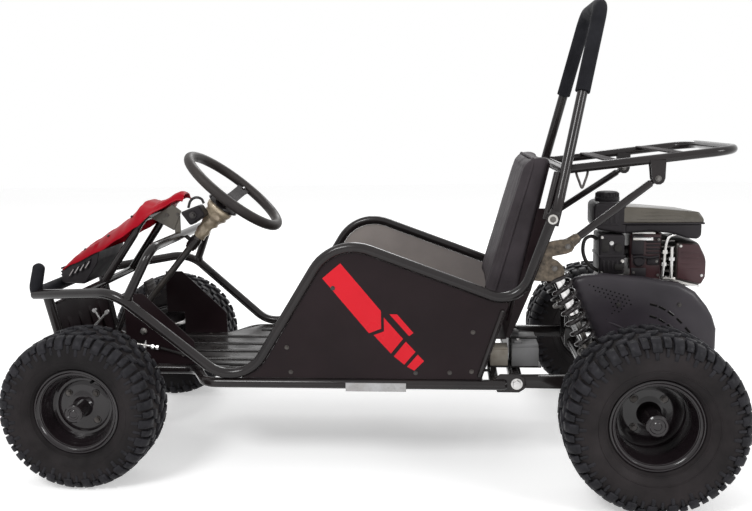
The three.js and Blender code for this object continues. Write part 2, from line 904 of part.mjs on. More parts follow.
// Wheels. Each turns about its group's own Y, which points out of the kart.
// Shares across a tyre: how far out from the rim's flange, and how far along its half width
const wallShares = [
  [0.4, 1],
  [0.88, 0.9],
  [1, 0.58],
];
const liningShares = [
  [0.42, 0.9],
  [0.86, 0.5],
];
function tyre(radius, width, rimHalfWidth) {
  const half = width / 2;
  const seat = (rimSeatRadius + gap) / Math.cos(Math.PI / tyreSegments);
  const flange = (rimFlangeRadius + gap) / Math.cos(Math.PI / tyreSegments);
  const bead = rimHalfWidth - rimFlangeWidth - rimSheet - gap;
  const spread = ([out, along]) => [flange + out * (radius - flange), along * half];
  const outer = [[seat, bead], [flange, bead], ...wallShares.map(spread)];
  const inner = [[seat, bead - tyreWall], ...liningShares.map(spread)];
  const mirrored = (points) => points.map(([r, y]) => [r, -y]);
  const right = [...outer].reverse();
  const left = mirrored(outer);
  const lining = [...mirrored(inner), ...[...inner].reverse()];
  const profile = [...left, ...right, ...lining.reverse(), left[0]];
  return lugged(turned(profile, tyreSegments), radius, half);
}

// Side lugs: every second segment of the shoulder rows is drawn in
function lugged(geometry, radius, half) {
  const places = geometry.attributes.position;
  const [[, wallY], [shoulderOut, shoulderAlong]] = wallShares;
  for (let i = 0; i < places.count; i++) {
    const [x, y, z] = [places.getX(i), places.getY(i), places.getZ(i)];
    const segment = Math.round((Math.atan2(z, x) / (2 * Math.PI)) * tyreSegments);
    const onShoulder = Math.abs(Math.abs(y) - shoulderAlong * half) < lugDepth / 2;
    if (!onShoulder || Math.hypot(x, z) < radius * shoulderOut || segment % 2 === 0) continue;
    const share = 1 - lugDepth / radius;
    places.setXYZ(i, x * share, y * share * wallY, z * share);
  }
  return geometry;
}

// A rim's profile: hub, disc, and a drop-centre barrel with rolled flanges
function rim(halfWidth, discY, hubRadius, hubReach, hubTail, boreRadius) {
  const seat = rimSeatRadius;
  const well = seat - rimWellDepth;
  const lip = halfWidth - rimFlangeWidth;
  const wellHalf = halfWidth * wellShare;
  const inside = (r) => r - rimSheet;
  const discHigh = discY + rimDiscSheet / 2;
  const discLow = discY - rimDiscSheet / 2;
  const discOuter = Math.abs(discY) < wellHalf ? well : seat;
  const outboard = [
    [inside(seat), lip],
    [inside(well), wellHalf],
  ];
  const inboard = outboard.map(([r, y]) => [r, -y]).reverse();
  const innerWall = [...outboard, ...inboard];
  const above = innerWall.filter(([, y]) => y > discHigh);
  const below = innerWall.filter(([, y]) => y < discLow);
  const profile = [
    [0, hubReach - hubCapThickness],
    [boreRadius, hubReach - hubCapThickness],
    [boreRadius, -hubTail],
    [hubRadius, -hubTail],
    [hubRadius, discLow - rimDiscSheet],
    [inside(discOuter), discLow],
    ...below,
    [rimFlangeRadius, -halfWidth],
    [rimFlangeRadius, -lip],
    [seat, rimSheet - lip],
    [well, -wellHalf],
    [well, wellHalf],
    [seat, lip - rimSheet],
    [rimFlangeRadius, lip],
    [rimFlangeRadius, halfWidth],
    ...above,
    [inside(discOuter), discHigh],
    [hubRadius, discHigh - rimDiscSheet],
    [hubRadius, hubReach - rimSheet],
    [hubRadius - rimSheet, hubReach],
    [0, hubReach],
  ];
  return turned(profile, rimSegments);
}

function wheelGroup(x, y, z, side) {
  const group = new THREE.Group();
  group.position.set(x, side * y, z);
  group.rotation.z = side > 0 ? 0 : Math.PI;
  root.add(group);
  return group;
}

// A tyre is turned half a segment, so that it stands on a flat
function addWheel(place, side, name, group) {
  const front = place === "front";
  const radius = front ? frontTyreRadius : rearTyreRadius;
  const width = front ? frontTyreWidth : rearTyreWidth;
  const rimHalf = front ? frontRimHalfWidth : rearRimHalfWidth;
  const frontHub = [frontHubRadius, frontHubReach, frontHubTail, boreFor(stubRadius)];
  const rearHub = [rearHubRadius, rearHubReach, rearHubTail, axleRadius + gap];
  const rimGeometry = front
    ? rim(frontRimHalfWidth, frontDiscOffset, ...frontHub)
    : rim(rearRimHalfWidth, rearDiscOffset, ...rearHub);
  const rubber = addPiece(`${place}_tyre_${name}`, tyre(radius, width, rimHalf), "rubber", group);
  rubber.rotation.y = Math.PI / tyreSegments;
  addPiece(`${place}_rim_${name}`, rimGeometry, "rim", group);
}

// A pedal on the tube across the front, swinging on its own hub
function pedal(side) {
  const hubY = about(side * pedalY, pedalHubWidth);
  const hubRadius = tubeRadius + runningGap + pedalHubWall;
  const hub = collar(pedalTubeX, railZ, hubY, hubRadius, tubeRadius + runningGap);
  const armOutline = [
    [pedalTubeX - pedalArmWidth / 2, railZ + tubeRadius + pedalHubWall / 2],
    [pedalTubeX + pedalArmWidth / 2, railZ + tubeRadius + pedalHubWall / 2],
    [pedalPadX + pedalArmWidth / 2, pedalPadZ],
    [pedalPadX - pedalArmWidth / 2, pedalPadZ],
  ];
  const pad = box(
    about(0, pedalPadThickness),
    about(side * pedalY, pedalPadWidth),
    about(0, pedalPadLength),
  );
  pad.rotateY(-radians(pedalPadLean)).translate(pedalPadX, 0, pedalPadZ);
  return join(hub, slab(armOutline, about(side * pedalY, pedalArmThickness)), pad);
}

// Swing arm: wide at its pivot and the shock absorbers, narrow at the axle
function swingArm() {
  const barY = (middle, side) => onSide(side, middle - armBarWidth / 2, middle + armBarWidth / 2);
  const lowZ = pivotZ - armBarHeight / 2;
  const clevisX = about(shockBottomX, clevisWidth);
  const clevisTopZ = shockBottomZ + clevisTopRise;
  const lowerTubeZ = lowZ + crossTubeRadius;
  const pieces = [crossRod(pivotX, pivotZ, about(0, 2 * outerArmY + armBarWidth), pivotTubeRadius, 16)];
  for (const [, side] of sides) {
    const outerOutline = [
      [pivotX, pivotZ - armBarHeight / 2],
      [clevisX[1], lowZ],
      [clevisX[1], lowZ + armBarHeight],
      [pivotX, lowZ + armBarHeight],
    ];
    pieces.push(slab(outerOutline, barY(outerArmY, side)));
    for (const inner of [shockEyeWidth / 2 + gap, -shockEyeWidth / 2 - gap - clevisPlate]) {
      const earY = onSide(side, outerArmY + inner, outerArmY + inner + clevisPlate);
      pieces.push(box(clevisX, earY, [lowZ, clevisTopZ]));
    }
    const innerOutline = [
      [clevisX[0], lowZ],
      [rearAxleX - bearingRadius, rearAxleZ - bearingRadius],
      [rearAxleX + bearingRadius, rearAxleZ - bearingRadius],
      [rearCrossX + clevisWidth / 2, rearAxleZ],
      [rearCrossX + clevisWidth / 2, rearCrossZ + crossTubeRadius / 2],
      [rearCrossX - clevisWidth / 2, rearCrossZ + crossTubeRadius / 2],
      [rearAxleX + bearingRadius, rearAxleZ + bearingRadius],
      [rearAxleX - bearingRadius, rearAxleZ + bearingRadius],
      [clevisX[1], clevisTopZ - clevisPlate],
      [clevisX[0], clevisTopZ - clevisPlate],
    ];
    pieces.push(slab(innerOutline, barY(innerArmY, side)));
    const bearingY = about(side * innerArmY, bearingWidth);
    pieces.push(crossRod(rearAxleX, rearAxleZ, bearingY, bearingRadius, 16));
  }
  const pinY = about(0, 2 * outerArmY + shockEyeWidth + clevisPlate);
  pieces.push(
    crossRod(shockBottomX, lowerTubeZ, about(0, 2 * outerArmY), crossTubeRadius),
    crossRod(shockBottomX, shockBottomZ, about(0, 2 * outerArmY - shockEyeWidth), crossTubeRadius),
    crossRod(shockBottomX, shockBottomZ, pinY, shockPinRadius, 12),
    crossRod(rearCrossX, rearCrossZ, about(0, 2 * innerArmY), crossTubeRadius),
    box([plateFrontX, plateRearX], about(0, 2 * plateHalfWidth), [plateTopZ - plateThickness, plateTopZ]),
  );
  return cut(
    join(...pieces),
    crossRod(pivotX, pivotZ, about(0, 2 * sideY), boreFor(pivotBoltRadius)),
    crossRod(rearAxleX, rearAxleZ, about(0, 2 * sideY), boreFor(axleRadius)),
  );
}

// A toothed wheel across the kart
function toothed(x, z, y, radius, teeth) {
  const outline = Array.from({ length: teeth * 2 }, (_, i) => {
    const angle = (Math.PI * i) / teeth;
    const r = i % 2 ? radius - toothDepth : radius;
    return [x + r * Math.cos(angle), z + r * Math.sin(angle)];
  });
  return slab(outline, y);
}

function rearSprocket() {
  const plateY = about(driveY, sprocketThickness);
  const hubY = [driveY, plateY[1] + hubFlangeWidth];
  const solid = join(
    toothed(rearAxleX, rearAxleZ, plateY, sprocketRadius, sprocketTeeth),
    crossRod(rearAxleX, rearAxleZ, hubY, hubFlangeRadius),
  );
  return cut(solid, crossRod(rearAxleX, rearAxleZ, about(driveY, 4 * overrun), axleRadius + gap));
}

function clutchDrum() {
  const plateY = about(driveY, sprocketThickness);
  const drumInner = driveY + chainWidth / 2 + chainSideGap;
  const solid = join(
    toothed(crankX, crankZ, plateY, clutchSprocketRadius, clutchTeeth),
    crossRod(crankX, crankZ, [driveY, drumInner + weld], clutchHubRadius),
    crossRod(crankX, crankZ, [drumInner, drumInner + clutchDrumWidth], clutchDrumRadius, 20),
  );
  return cut(solid, crossRod(crankX, crankZ, about(driveY, 4 * overrun), boreFor(crankRadius)));
}

// The loop round two wheels, at a distance outside them
function beltLoop(distance) {
  const small = { x: crankX, z: crankZ, r: clutchSprocketRadius + distance };
  const large = { x: rearAxleX, z: rearAxleZ, r: sprocketRadius + distance };
  const away = Math.atan2(small.z - large.z, small.x - large.x);
  const span = Math.hypot(small.z - large.z, small.x - large.x);
  const lean = Math.acos((large.r - small.r) / span);
  const arc = (wheel, from, to, count) =>
    Array.from({ length: count + 1 }, (_, i) => {
      const angle = from + ((to - from) * i) / count;
      return [wheel.x + wheel.r * Math.cos(angle), wheel.z + wheel.r * Math.sin(angle)];
    });
  return [
    ...arc(small, away - lean, away + lean, 8),
    ...arc(large, away + lean, away + 2 * Math.PI - lean, 24),
  ];
}

function driveChain() {
  const outer = slab(beltLoop(chainPlay + chainThickness), about(driveY, chainWidth));
  return cut(outer, slab(beltLoop(chainPlay), about(driveY, chainWidth + overrun)));
}

function brakeDisc() {
  const discY = about(brakeY, brakeDiscThickness);
  const hubY = [discY[0] - hubFlangeWidth, brakeY];
  const solid = join(
    crossRod(rearAxleX, rearAxleZ, discY, brakeDiscRadius, 24),
    crossRod(rearAxleX, rearAxleZ, hubY, hubFlangeRadius),
  );
  return cut(solid, crossRod(rearAxleX, rearAxleZ, about(brakeY, 4 * overrun), axleRadius + gap));
}

function brakeCaliper() {
  const innerY = innerArmY + armBarWidth / 2 + gap;
  const low = [rearAxleX - caliperForward, rearAxleZ + caliperRise];
  const body = box(
    [low[0], low[0] + caliperLength],
    [innerY, innerY + caliperDepth],
    [low[1], low[1] + caliperHeight],
  );
  const slot = crossRod(
    rearAxleX,
    rearAxleZ,
    about(brakeY, brakeDiscThickness + 4 * runningGap),
    brakeDiscRadius + discPlay,
    24,
  );
  return cut(body, slot);
}

// The drive guard's outline, as shares of its length and height from its lower front corner
const guardX = 436;
const guardZ = 208;
const guardLength = 303;
const guardHeight = 215;
const guardShares = [
  [0.27, 0],
  [0.86, 0],
  [1, 0.25],
  [1, 0.45],
  [0.93, 0.68],
  [0.85, 0.84],
  [0.74, 0.91],
  [0.22, 1],
  [0.05, 0.98],
  [0, 0.9],
  [0.1, 0.55],
  [0.2, 0.3],
];
function guardOutline(inset) {
  return guardShares.map(([a, b]) => {
    const middle = 0.5;
    const x = guardX + guardLength * a - Math.sign(a - middle) * inset;
    return [x, guardZ + guardHeight * b - Math.sign(b - middle) * inset];
  });
}

function driveGuard() {
  const y = [guardY, guardY + guardDepth];
  const hollow = slab(guardOutline(guardSheet), [guardY + guardSheet, y[1] + overrun], guardRound);
  return cut(slab(guardOutline(0), y, guardRound), hollow, box(
    [guardX - overrun, guardX + guardLength + overrun],
    [y[1] - guardRound, y[1] + overrun],
    [guardZ - overrun, guardZ + guardHeight + overrun],
  ));
}

// Shock absorber: the group's own -Z runs down it from the upper eye
function shockGroup(side) {
  const group = new THREE.Group();
  group.position.set(shockTopX, side * shockY, shockTopZ);
  group.rotation.y = -Math.atan2(shockBottomX - shockTopX, shockTopZ - shockBottomZ);
  root.add(group);
  return group;
}

const shockLength = Math.hypot(shockBottomX - shockTopX, shockTopZ - shockBottomZ);
const springTop = -cupInset - cupThickness - gap;
const springBottom = cupInset + cupThickness + gap - shockLength;

function upright(low, high, radius, segments = 14) {
  return rod(point(0, 0, low), point(0, 0, high), radius, segments);
}

function shockBody() {
  const across = about(0, shockEyeWidth);
  const eye = rod(point(0, across[0], 0), point(0, across[1], 0), shockEyeRadius);
  const bore = rod(point(0, -shockY, 0), point(0, shockY, 0), shockPinRadius + runningGap);
  const cup = upright(-cupInset - cupThickness, -cupInset, cupRadius, 18);
  const barrel = upright(-cupInset - damperLength, 0, damperRadius);
  const wellTop = -cupInset - 2 * cupThickness;
  const well = upright(-cupInset - damperLength - overrun, wellTop, boreFor(damperRodRadius));
  return cut(join(eye, cup, barrel), bore, well);
}

function shockRod() {
  const across = about(0, shockEyeWidth);
  const eye = rod(point(0, across[0], -shockLength), point(0, across[1], -shockLength), shockEyeRadius);
  const low = -shockLength;
  const bore = rod(point(0, -shockY, low), point(0, shockY, low), shockPinRadius + shockPlay);
  const cup = upright(low + cupInset, low + cupInset + cupThickness, cupRadius, 18);
  const shaft = upright(low, -cupInset - damperLength + 2 * overrun, damperRodRadius, 12);
  return cut(join(eye, cup, shaft), bore);
}

// Centre line of the spring: a helix with a straight end of one wire's diameter on each side
class SpringLine extends THREE.Curve {
  constructor(radius, low, high, turns) {
    super();
    Object.assign(this, { radius, low, high, turns });
  }

  getPointAt(share) {
    const angle = 2 * Math.PI * this.turns * share;
    const z = this.low + (this.high - this.low) * share;
    return point(this.radius * Math.cos(angle), this.radius * Math.sin(angle), z);
  }

  getTangentAt(share) {
    const angle = 2 * Math.PI * this.turns * share;
    const rise = (this.high - this.low) / (2 * Math.PI * this.turns * this.radius);
    return point(-Math.sin(angle), Math.cos(angle), rise).normalize();
  }
}

const springLine = new SpringLine(
  springRadius,
  springBottom + wireRadius + gap,
  springTop - wireRadius - gap,
  springTurns,
);
const springSteps = 8 * springTurns;

function spring() {
  const shape = new THREE.Shape(ring(wireRadius, 5));
  return new THREE.ExtrudeGeometry(shape, { steps: springSteps, extrudePath: springLine });
}

// The least clear gap between neighbouring turns of the spring, measured on its points
function springGap() {
  let least = Infinity;
  for (let i = 0; i < springSteps; i++) {
    for (let j = i + 6; j <= springSteps; j++) {
      const a = springLine.getPointAt(i / springSteps);
      const b = springLine.getPointAt(j / springSteps);
      least = Math.min(least, a.distanceTo(b) - 2 * wireRadius);
    }
  }
  return least;
}
console.log(`least gap between turns of the spring: ${springGap().toFixed(2)} mm`);

// A padded block: crowned on one face, its sides drawn in, with sewn channels across it
function cushion(width, depth, height, shape) {
  const geometry = new THREE.BoxGeometry(width, depth, height, 8, 12, 2);
  const places = geometry.attributes.position;
  for (let i = 0; i < places.count; i++) {
    const u = (2 * places.getX(i)) / width;
    const v = (2 * places.getY(i)) / depth;
    const w = (2 * places.getZ(i)) / height;
    const corner = 1 - shape.cornerShare * Math.pow(Math.abs(u * v), 6);
    const faceShare = w > 0 ? 1 : shape.rearShare;
    const drawn = 1 - shape.drawnShare * faceShare * (1 - u * u * v * v) * w * w;
    const seamPlace = (Math.PI * shape.channels * (v + 1)) / 2;
    const channel = shape.channel * Math.pow(Math.abs(Math.cos(seamPlace)), 12);
    const dome = shape.crown * (1 - u * u) * (1 - v * v) - (1 - u ** 8) * (1 - v ** 8) * channel;
    const x = (width / 2) * u * drawn * corner;
    const y = (depth / 2) * v * drawn * corner;
    const z = w > 0 ? (height / 2 - shape.crown + dome) * w : (height / 2) * w;
    places.setXYZ(i, x, y, z);
  }
  return geometry;
}

const padForm = { cornerShare: 0.04, drawnShare: 0.03, rearShare: 0.4, crown: 12, channel: 4, channels: 4 };

// Seat shell: a bent sheet under and behind the cushions, on two legs
const backLean = (backTopX + backTopDepth - backBottomX - backBottomDepth) / (backTopZ - backBottomZ);
const backRearX = (z) => backBottomX + backBottomDepth + backLean * (z - backBottomZ);
const floorTopZ = railZ + tubeRadius + gap + sheet;
function seatShell() {
  const topZ = seatTopZ - seatThickness - gap;
  const legX = seatFrontX - shellSheet;
  const outline = [
    [legX, floorTopZ + gap],
    [legX + shellSheet, floorTopZ + gap],
    [legX + shellSheet, topZ - shellSheet],
    [backRearX(topZ) + shellSheet + gap, topZ - shellSheet],
    [backRearX(backTopZ - shellDrop) + shellSheet + gap, backTopZ - shellDrop],
    [backRearX(backTopZ - shellDrop) + gap, backTopZ - shellDrop],
    [backRearX(topZ) + gap, topZ],
    [legX, topZ],
  ];
  const rearLeg = box(
    about(seatTubeXs[1], shellSheet),
    about(0, 2 * seatHalfWidth),
    [railZ + tubeRadius + gap, topZ - shellSheet / 2],
  );
  return join(slab(outline, about(0, 2 * seatHalfWidth)), rearLeg);
}

function seatCushion() {
  const rearX = backBottomX - seatRearGap;
  const pad = cushion(rearX - seatFrontX, 2 * seatHalfWidth, seatThickness, padForm);
  return pad.translate((rearX + seatFrontX) / 2, 0, seatTopZ - seatThickness / 2);
}

// The back cushion is thicker at its foot and leans with the seat shell
function seatBack() {
  const height = Math.hypot(backTopZ - backBottomZ, backLean * (backTopZ - backBottomZ));
  const pad = cushion(2 * seatHalfWidth, height, backBottomDepth, padForm);
  const places = pad.attributes.position;
  for (let i = 0; i < places.count; i++) {
    const across = places.getX(i);
    const up = places.getY(i) / height + 0.5;
    const out = places.getZ(i) / backBottomDepth + 0.5;
    const depth = backBottomDepth + (backTopDepth - backBottomDepth) * up;
    const z = backBottomZ + up * (backTopZ - backBottomZ);
    places.setXYZ(i, backRearX(z) - out * depth, -across, z);
  }
  return pad;
}

// Floor pan on the cross tubes, following the rails
function floorPan() {
  const half = frontRailY - tubeRadius - sheet;
  const outline = [
    [floorRearX, -floorHalfWidth],
    [floorRearX, floorHalfWidth],
    [railJogX + railJogRun / 2, floorHalfWidth],
    [railJogX - railJogRun, half],
    [floorFrontX, half],
    [floorFrontX, -half],
    [railJogX - railJogRun, -half],
    [railJogX + railJogRun / 2, -floorHalfWidth],
  ];
  return sheetPlate(outline, [floorTopZ - sheet, floorTopZ]);
}

// Side panel: its edge runs just inside the side tube
function sidePanel(side) {
  const line = sideLine(side);
  const offset = tubeRadius + gap;
  const inset = ({ place, way }) => [place.x + way.z * offset, place.z - way.x * offset];
  const bottomZ = railZ + tubeRadius + gap;
  const rising = line.stations.filter(
    ({ place, way }) =>
      place.x > valleyX && place.x < dipX && way.x > 0 && place.z - way.x * offset > bottomZ,
  );
  const edge = rising.map(inset).filter(([x, z]) => z > bottomZ + sheet && x < panelRearTopX);
  const [first, second] = edge;
  const slope = (second[0] - first[0]) / (second[1] - first[1]);
  const outline = [
    [first[0] - slope * (first[1] - bottomZ), bottomZ],
    ...edge,
    [panelRearTopX, panelRearTopZ],
    [panelRearBottomX, bottomZ],
  ];
  return slab(outline.reverse(), about(side * sideY, sheet));
}

function footwell(side) {
  const bottomZ = railZ + tubeRadius + gap;
  const outline = [
    [footwellNotchX, bottomZ],
    [footwellRearX, bottomZ],
    [footwellRearX, footwellRearZ],
    [footwellFrontX + 2 * tubeRadius, footwellTopZ],
    [footwellFrontX, footwellTopZ],
    [footwellFrontX, footwellNotchZ],
    [footwellNotchX, footwellNotchZ],
  ];
  return slab(outline, about(side * frontRailY, sheet));
}

// Nose: side outlines as shares of its length and height from the tip, cut to a tapered plan
const noseShares = [
  [0, 0],
  [0.353, 0.26],
  [0.53, 0.42],
  [0.8, 0.69],
  [1, 0.925],
  [0.8, 1],
  [0.72, 0.94],
  [0.36, 0.48],
  [0.05, 0.15],
];
const noseHalfAt = (x) =>
  noseTipHalfWidth + ((noseTopHalfWidth - noseTipHalfWidth) * (x - noseTipX)) / noseLength;
function nosePlan(inset, fromX, toX) {
  return [
    [fromX, -noseHalfAt(fromX) + inset],
    [toX, -noseHalfAt(toX) + inset],
    [toX, noseHalfAt(toX) - inset],
    [fromX, noseHalfAt(fromX) - inset],
  ];
}

function noseCover() {
  const outline = noseShares.map(([a, b]) => [noseTipX + a * noseLength, noseTipZ + b * noseHeight]);
  const wide = about(0, 2 * noseTopHalfWidth + overrun);
  const z = [noseTipZ - overrun, noseTipZ + noseHeight + overrun];
  const ends = [noseTipX - noseSheet, noseTipX + noseLength + overrun];
  const outer = common(slab(outline, wide), sheetPlate(nosePlan(0, ...ends), z));
  const lowered = slab(outline, wide).translate(noseSheet, 0, -noseSkinDrop * noseSheet);
  const deeper = slab(outline, wide).translate(5 * noseSheet, 0, -8 * noseSheet);
  const inner = common(join(lowered, deeper), sheetPlate(nosePlan(noseSheet, ...ends), z));
  return cut(outer, inner);
}

// The black lower half of the nose, with slots between its slats
function noseGrille() {
  const share = (grilleRearX - noseTipX) / noseLength;
  const upperZ = noseTipZ + (share * 0.26 * noseHeight) / 0.353;
  const drop = 2 * gap;
  const outline = [
    [grilleFrontX, grilleBottomZ],
    [grilleRearX, grilleBottomZ],
    [grilleRearX, upperZ - drop],
    [noseTipX, noseTipZ - drop],
    [grilleFrontX, noseTipZ - 4 * slatGap],
  ];
  const wide = about(0, 2 * noseTopHalfWidth);
  const z = [grilleBottomZ - overrun, noseTipZ + noseHeight];
  const solid = common(slab(outline, wide), sheetPlate(nosePlan(noseSheet, grilleFrontX, grilleRearX), z));
  const pitch = (grilleRearX - noseTipX) / (slatCount + 1);
  const slots = Array.from({ length: slatCount }, (_, i) => {
    const x = noseTipX + pitch * (i + 1);
    return sides.map(([, side]) =>
      box(
        about(x, slatGap),
        onSide(side, noseTipHalfWidth - overrun, noseTopHalfWidth + overrun),
        [grilleBottomZ + 2 * slatGap, upperZ - 6 * slatGap],
      ),
    );
  });
  return cut(solid, ...slots.flat());
}

// The loop under the nose, on a cross tube between the side tubes
function noseFrame() {
  const foot = placeAt(sideLine(1), noseFootX);
  const kneeX = noseTipX + noseKneeShare * noseLength;
  const [[lowX, lowZ], [highX, highZ]] = [noseShares[7], noseShares[6]];
  const slope = (noseHeight * (highZ - lowZ)) / (noseLength * (highX - lowX));
  const skinZ = noseTipZ + noseHeight * lowZ + slope * (kneeX - noseTipX - lowX * noseLength);
  const below = (noseTubeRadius + gap) * Math.hypot(1, slope) + noseSheet * (noseSkinDrop + slope);
  const leg = (side) => [
    point(noseFootX, side * noseKneeY, foot.z),
    point(noseMiddleX, side * noseKneeY, noseMiddleZ),
    point(kneeX, side * noseKneeY, skinZ - below),
  ];
  const loop = tube(new BentLine([...leg(-1), ...leg(1).reverse()], noseBends), noseTubeRadius);
  const cross = crossRod(noseFootX, foot.z, [-foot.y, foot.y], noseTubeRadius);
  return cut(join(loop, cross), ...sideTools);
}

function rollBar() {
  const leg = rollLegAt(rollCrossZ);
  const cross = crossRod(leg.x, rollCrossZ, [-leg.y, leg.y], tubeRadius);
  const headY = sideY + tubeRadius + gap;
  const bolts = sides.map(([, side]) =>
    join(
      crossRod(
        clampBoltX,
        clampBoltZ,
        onSide(side, rollFootY, headY + clampHeadThickness),
        clampBoltRadius,
      ),
      crossRod(clampBoltX, clampBoltZ, onSide(side, headY, headY + clampHeadThickness), clampHeadRadius),
    ),
  );
  return join(tube(rollLine, tubeRadius), cross, ...bolts);
}

function rollBarPad() {
  const legs = sides.map(([, side]) => {
    const leg = rollLegAt(padBottomZ);
    return point(leg.x, side * leg.y, leg.z);
  });
  const line = new BentLine(
    [legs[0], point(rollTopX, -rollTopY, rollTopZ), point(rollTopX, rollTopY, rollTopZ), legs[1]],
    rollTopBend,
  );
  return tube(line, padRadius, (tubeRadius + gap) / Math.cos(Math.PI / tubeSides));
}

// Cargo rack: a bent rail, two flat bars, and a clevis under each rail
function cargoRack() {
  const front = rollLegAt(rollCrossZ);
  const rearX = rearAxleX + rearOverhang - rackTubeRadius;
  const railZAt = (x) => rollCrossZ + (rackRise * (x - front.x)) / (rearX - front.x);
  const line = new BentLine(
    [
      point(front.x, -rackHalfWidth, rollCrossZ),
      point(rearX, -rackHalfWidth, railZAt(rearX)),
      point(rearX, rackHalfWidth, railZAt(rearX)),
      point(front.x, rackHalfWidth, rollCrossZ),
    ],
    rackBend,
  );
  const bars = rackBarXs.map((x) => {
    const topZ = railZAt(x) + rackTubeRadius;
    return box(about(x, rackBarWidth), about(0, 2 * rackHalfWidth), [topZ - rackBarThickness, topZ]);
  });
  const pinZ = railZAt(strutTopX) - strutDrop;
  const ears = sides.flatMap(([, side]) => {
    const inner = rackHalfWidth - strutEyeWidth / 2 - strutSidePlay - clevisPlate;
    const outer = rackHalfWidth + strutEyeWidth / 2 + strutSidePlay;
    const x = about(strutTopX, 2 * strutEyeRadius);
    const z = [pinZ - strutEyeRadius, railZAt(strutTopX)];
    return [
      box(x, onSide(side, inner, inner + clevisPlate), z),
      box(x, onSide(side, outer, outer + clevisPlate), z),
      crossRod(strutTopX, pinZ, onSide(side, inner, outer + clevisPlate), strutPinRadius, 8),
    ];
  });
  const crossTool = crossRod(front.x, rollCrossZ, about(0, 2 * sideY), tubeRadius + gap);
  const rack = join(tube(line, rackTubeRadius), ...bars, ...ears);
  return cut(rack, crossTool, tube(rollLine, tubeRadius + gap));
}

function rackStrut(side) {
  const front = rollLegAt(rollCrossZ);
  const rearX = rearAxleX + rearOverhang - rackTubeRadius;
  const topZ = rollCrossZ + (rackRise * (strutTopX - front.x)) / (rearX - front.x) - strutDrop;
  const top = point(strutTopX, side * rackHalfWidth, topZ);
  const bottom = point(strutBottomX, side * strutBottomY, strutBottomZ);
  const way = top.clone().sub(bottom).normalize();
  const eyes = [top, bottom].map((place) =>
    crossRod(place.x, place.z, about(place.y, strutEyeWidth), strutEyeRadius),
  );
  const bores = [top, bottom].map((place) =>
    crossRod(place.x, place.z, about(place.y, strutEyeWidth + overrun), strutPinRadius + runningGap, 8),
  );
  const from = bottom.clone().addScaledVector(way, 2.2 * strutRadius);
  const to = top.clone().addScaledVector(way, -2.2 * strutRadius);
  const flat = [top, bottom].map((place, i) => {
    const end = i ? from : to;
    return rod(place.clone().lerp(end, 0.4), place.clone().lerp(end, 1.2), strutEyeWidth / 2, 8);
  });
  return cut(join(...eyes, ...flat, rod(from, to, strutRadius)), ...bores);
}

// Engine
function crankcase() {
  const low = plateTopZ + gap;
  const height = crankcaseTopZ - low;
  const length = crankcaseRearX - crankcaseFrontX;
  const shares = [[0, 0], [1, 0], [1, 0.6], [0.88, 0.9], [0.7, 1], [0.12, 1], [0, 0.75]];
  const outline = shares.map(([a, b]) => [crankcaseFrontX + a * length, low + b * height]);
  const shaftY = [driveY - sprocketThickness, crankcaseLeftY + overrun];
  const studY = [guardY + guardSheet + gap, crankcaseLeftY + overrun];
  const studs = [0.1, 0.82].map((share) =>
    crossRod(crankcaseFrontX + share * length, low + 0.72 * height, studY, 0.7 * crankRadius, 8),
  );
  return join(
    slab(outline, [crankcaseLeftY, crankcaseRightY]),
    crossRod(crankX, crankZ, shaftY, crankRadius),
    ...studs,
  );
}

function engineShroud() {
  const low = crankcaseTopZ + gap;
  const head = box([shroudFrontX, shroudRearX], [shroudLeftY, shroudRightY], [low, tankBottomZ - gap]);
  const fanY = [crankcaseRightY + gap, crankcaseRightY + fanWidth];
  const fanZ = plateTopZ + fanRadius + gap + sheet;
  return join(head, crossRod(crankX, fanZ, fanY, fanRadius, 24));
}

// The tank has a raised filler end at its front
const tankShares = [
  [0.04, 0.16],
  [0.3, 0],
  [0.97, 0],
  [1, 0.1],
  [1, 0.6],
  [0.95, 0.84],
  [0.4, 1],
  [0.3, 1.02],
  [0.27, 1.17],
  [0.04, 1.17],
  [0, 1.04],
  [0, 0.3],
];
const lobeTopZ = tankBottomZ + 1.17 * tankHeight;
function fuelTank() {
  const length = tankRearX - tankFrontX;
  const outline = tankShares.map(([a, b]) => [tankFrontX + a * length, tankBottomZ + b * tankHeight]);
  const neck = rod(
    point(capX, capY, lobeTopZ - overrun),
    point(capX, capY, lobeTopZ + neckHeight),
    capRadius - capWall - runningGap,
  );
  return join(slab(outline, [tankLeftY, tankRightY], tankRound), neck);
}

function fuelCap() {
  const low = lobeTopZ + gap;
  const cap = rod(point(capX, capY, low), point(capX, capY, low + capHeight), capRadius, 20);
  const well = rod(
    point(capX, capY, low - overrun),
    point(capX, capY, lobeTopZ + neckHeight + gap),
    capRadius - capWall,
    20,
  );
  return cut(cap, well);
}

function airFilterBox() {
  const x = [filterFrontX, filterRearX];
  const z = [filterBottomZ, tankBottomZ - gap];
  const y = [filterLeftY, filterRightY];
  const outline = [[x[0], z[0]], [x[1], z[0]], [x[1], z[1]], [x[0], z[1]]];
  const middle = point(x[1] - overrun, (y[0] + y[1]) / 2, (z[0] + z[1]) / 2);
  const stub = rod(middle, middle.clone().setX(shroudFrontX - gap), filterStubRadius);
  return join(slab(outline, y, filterRound), stub);
}

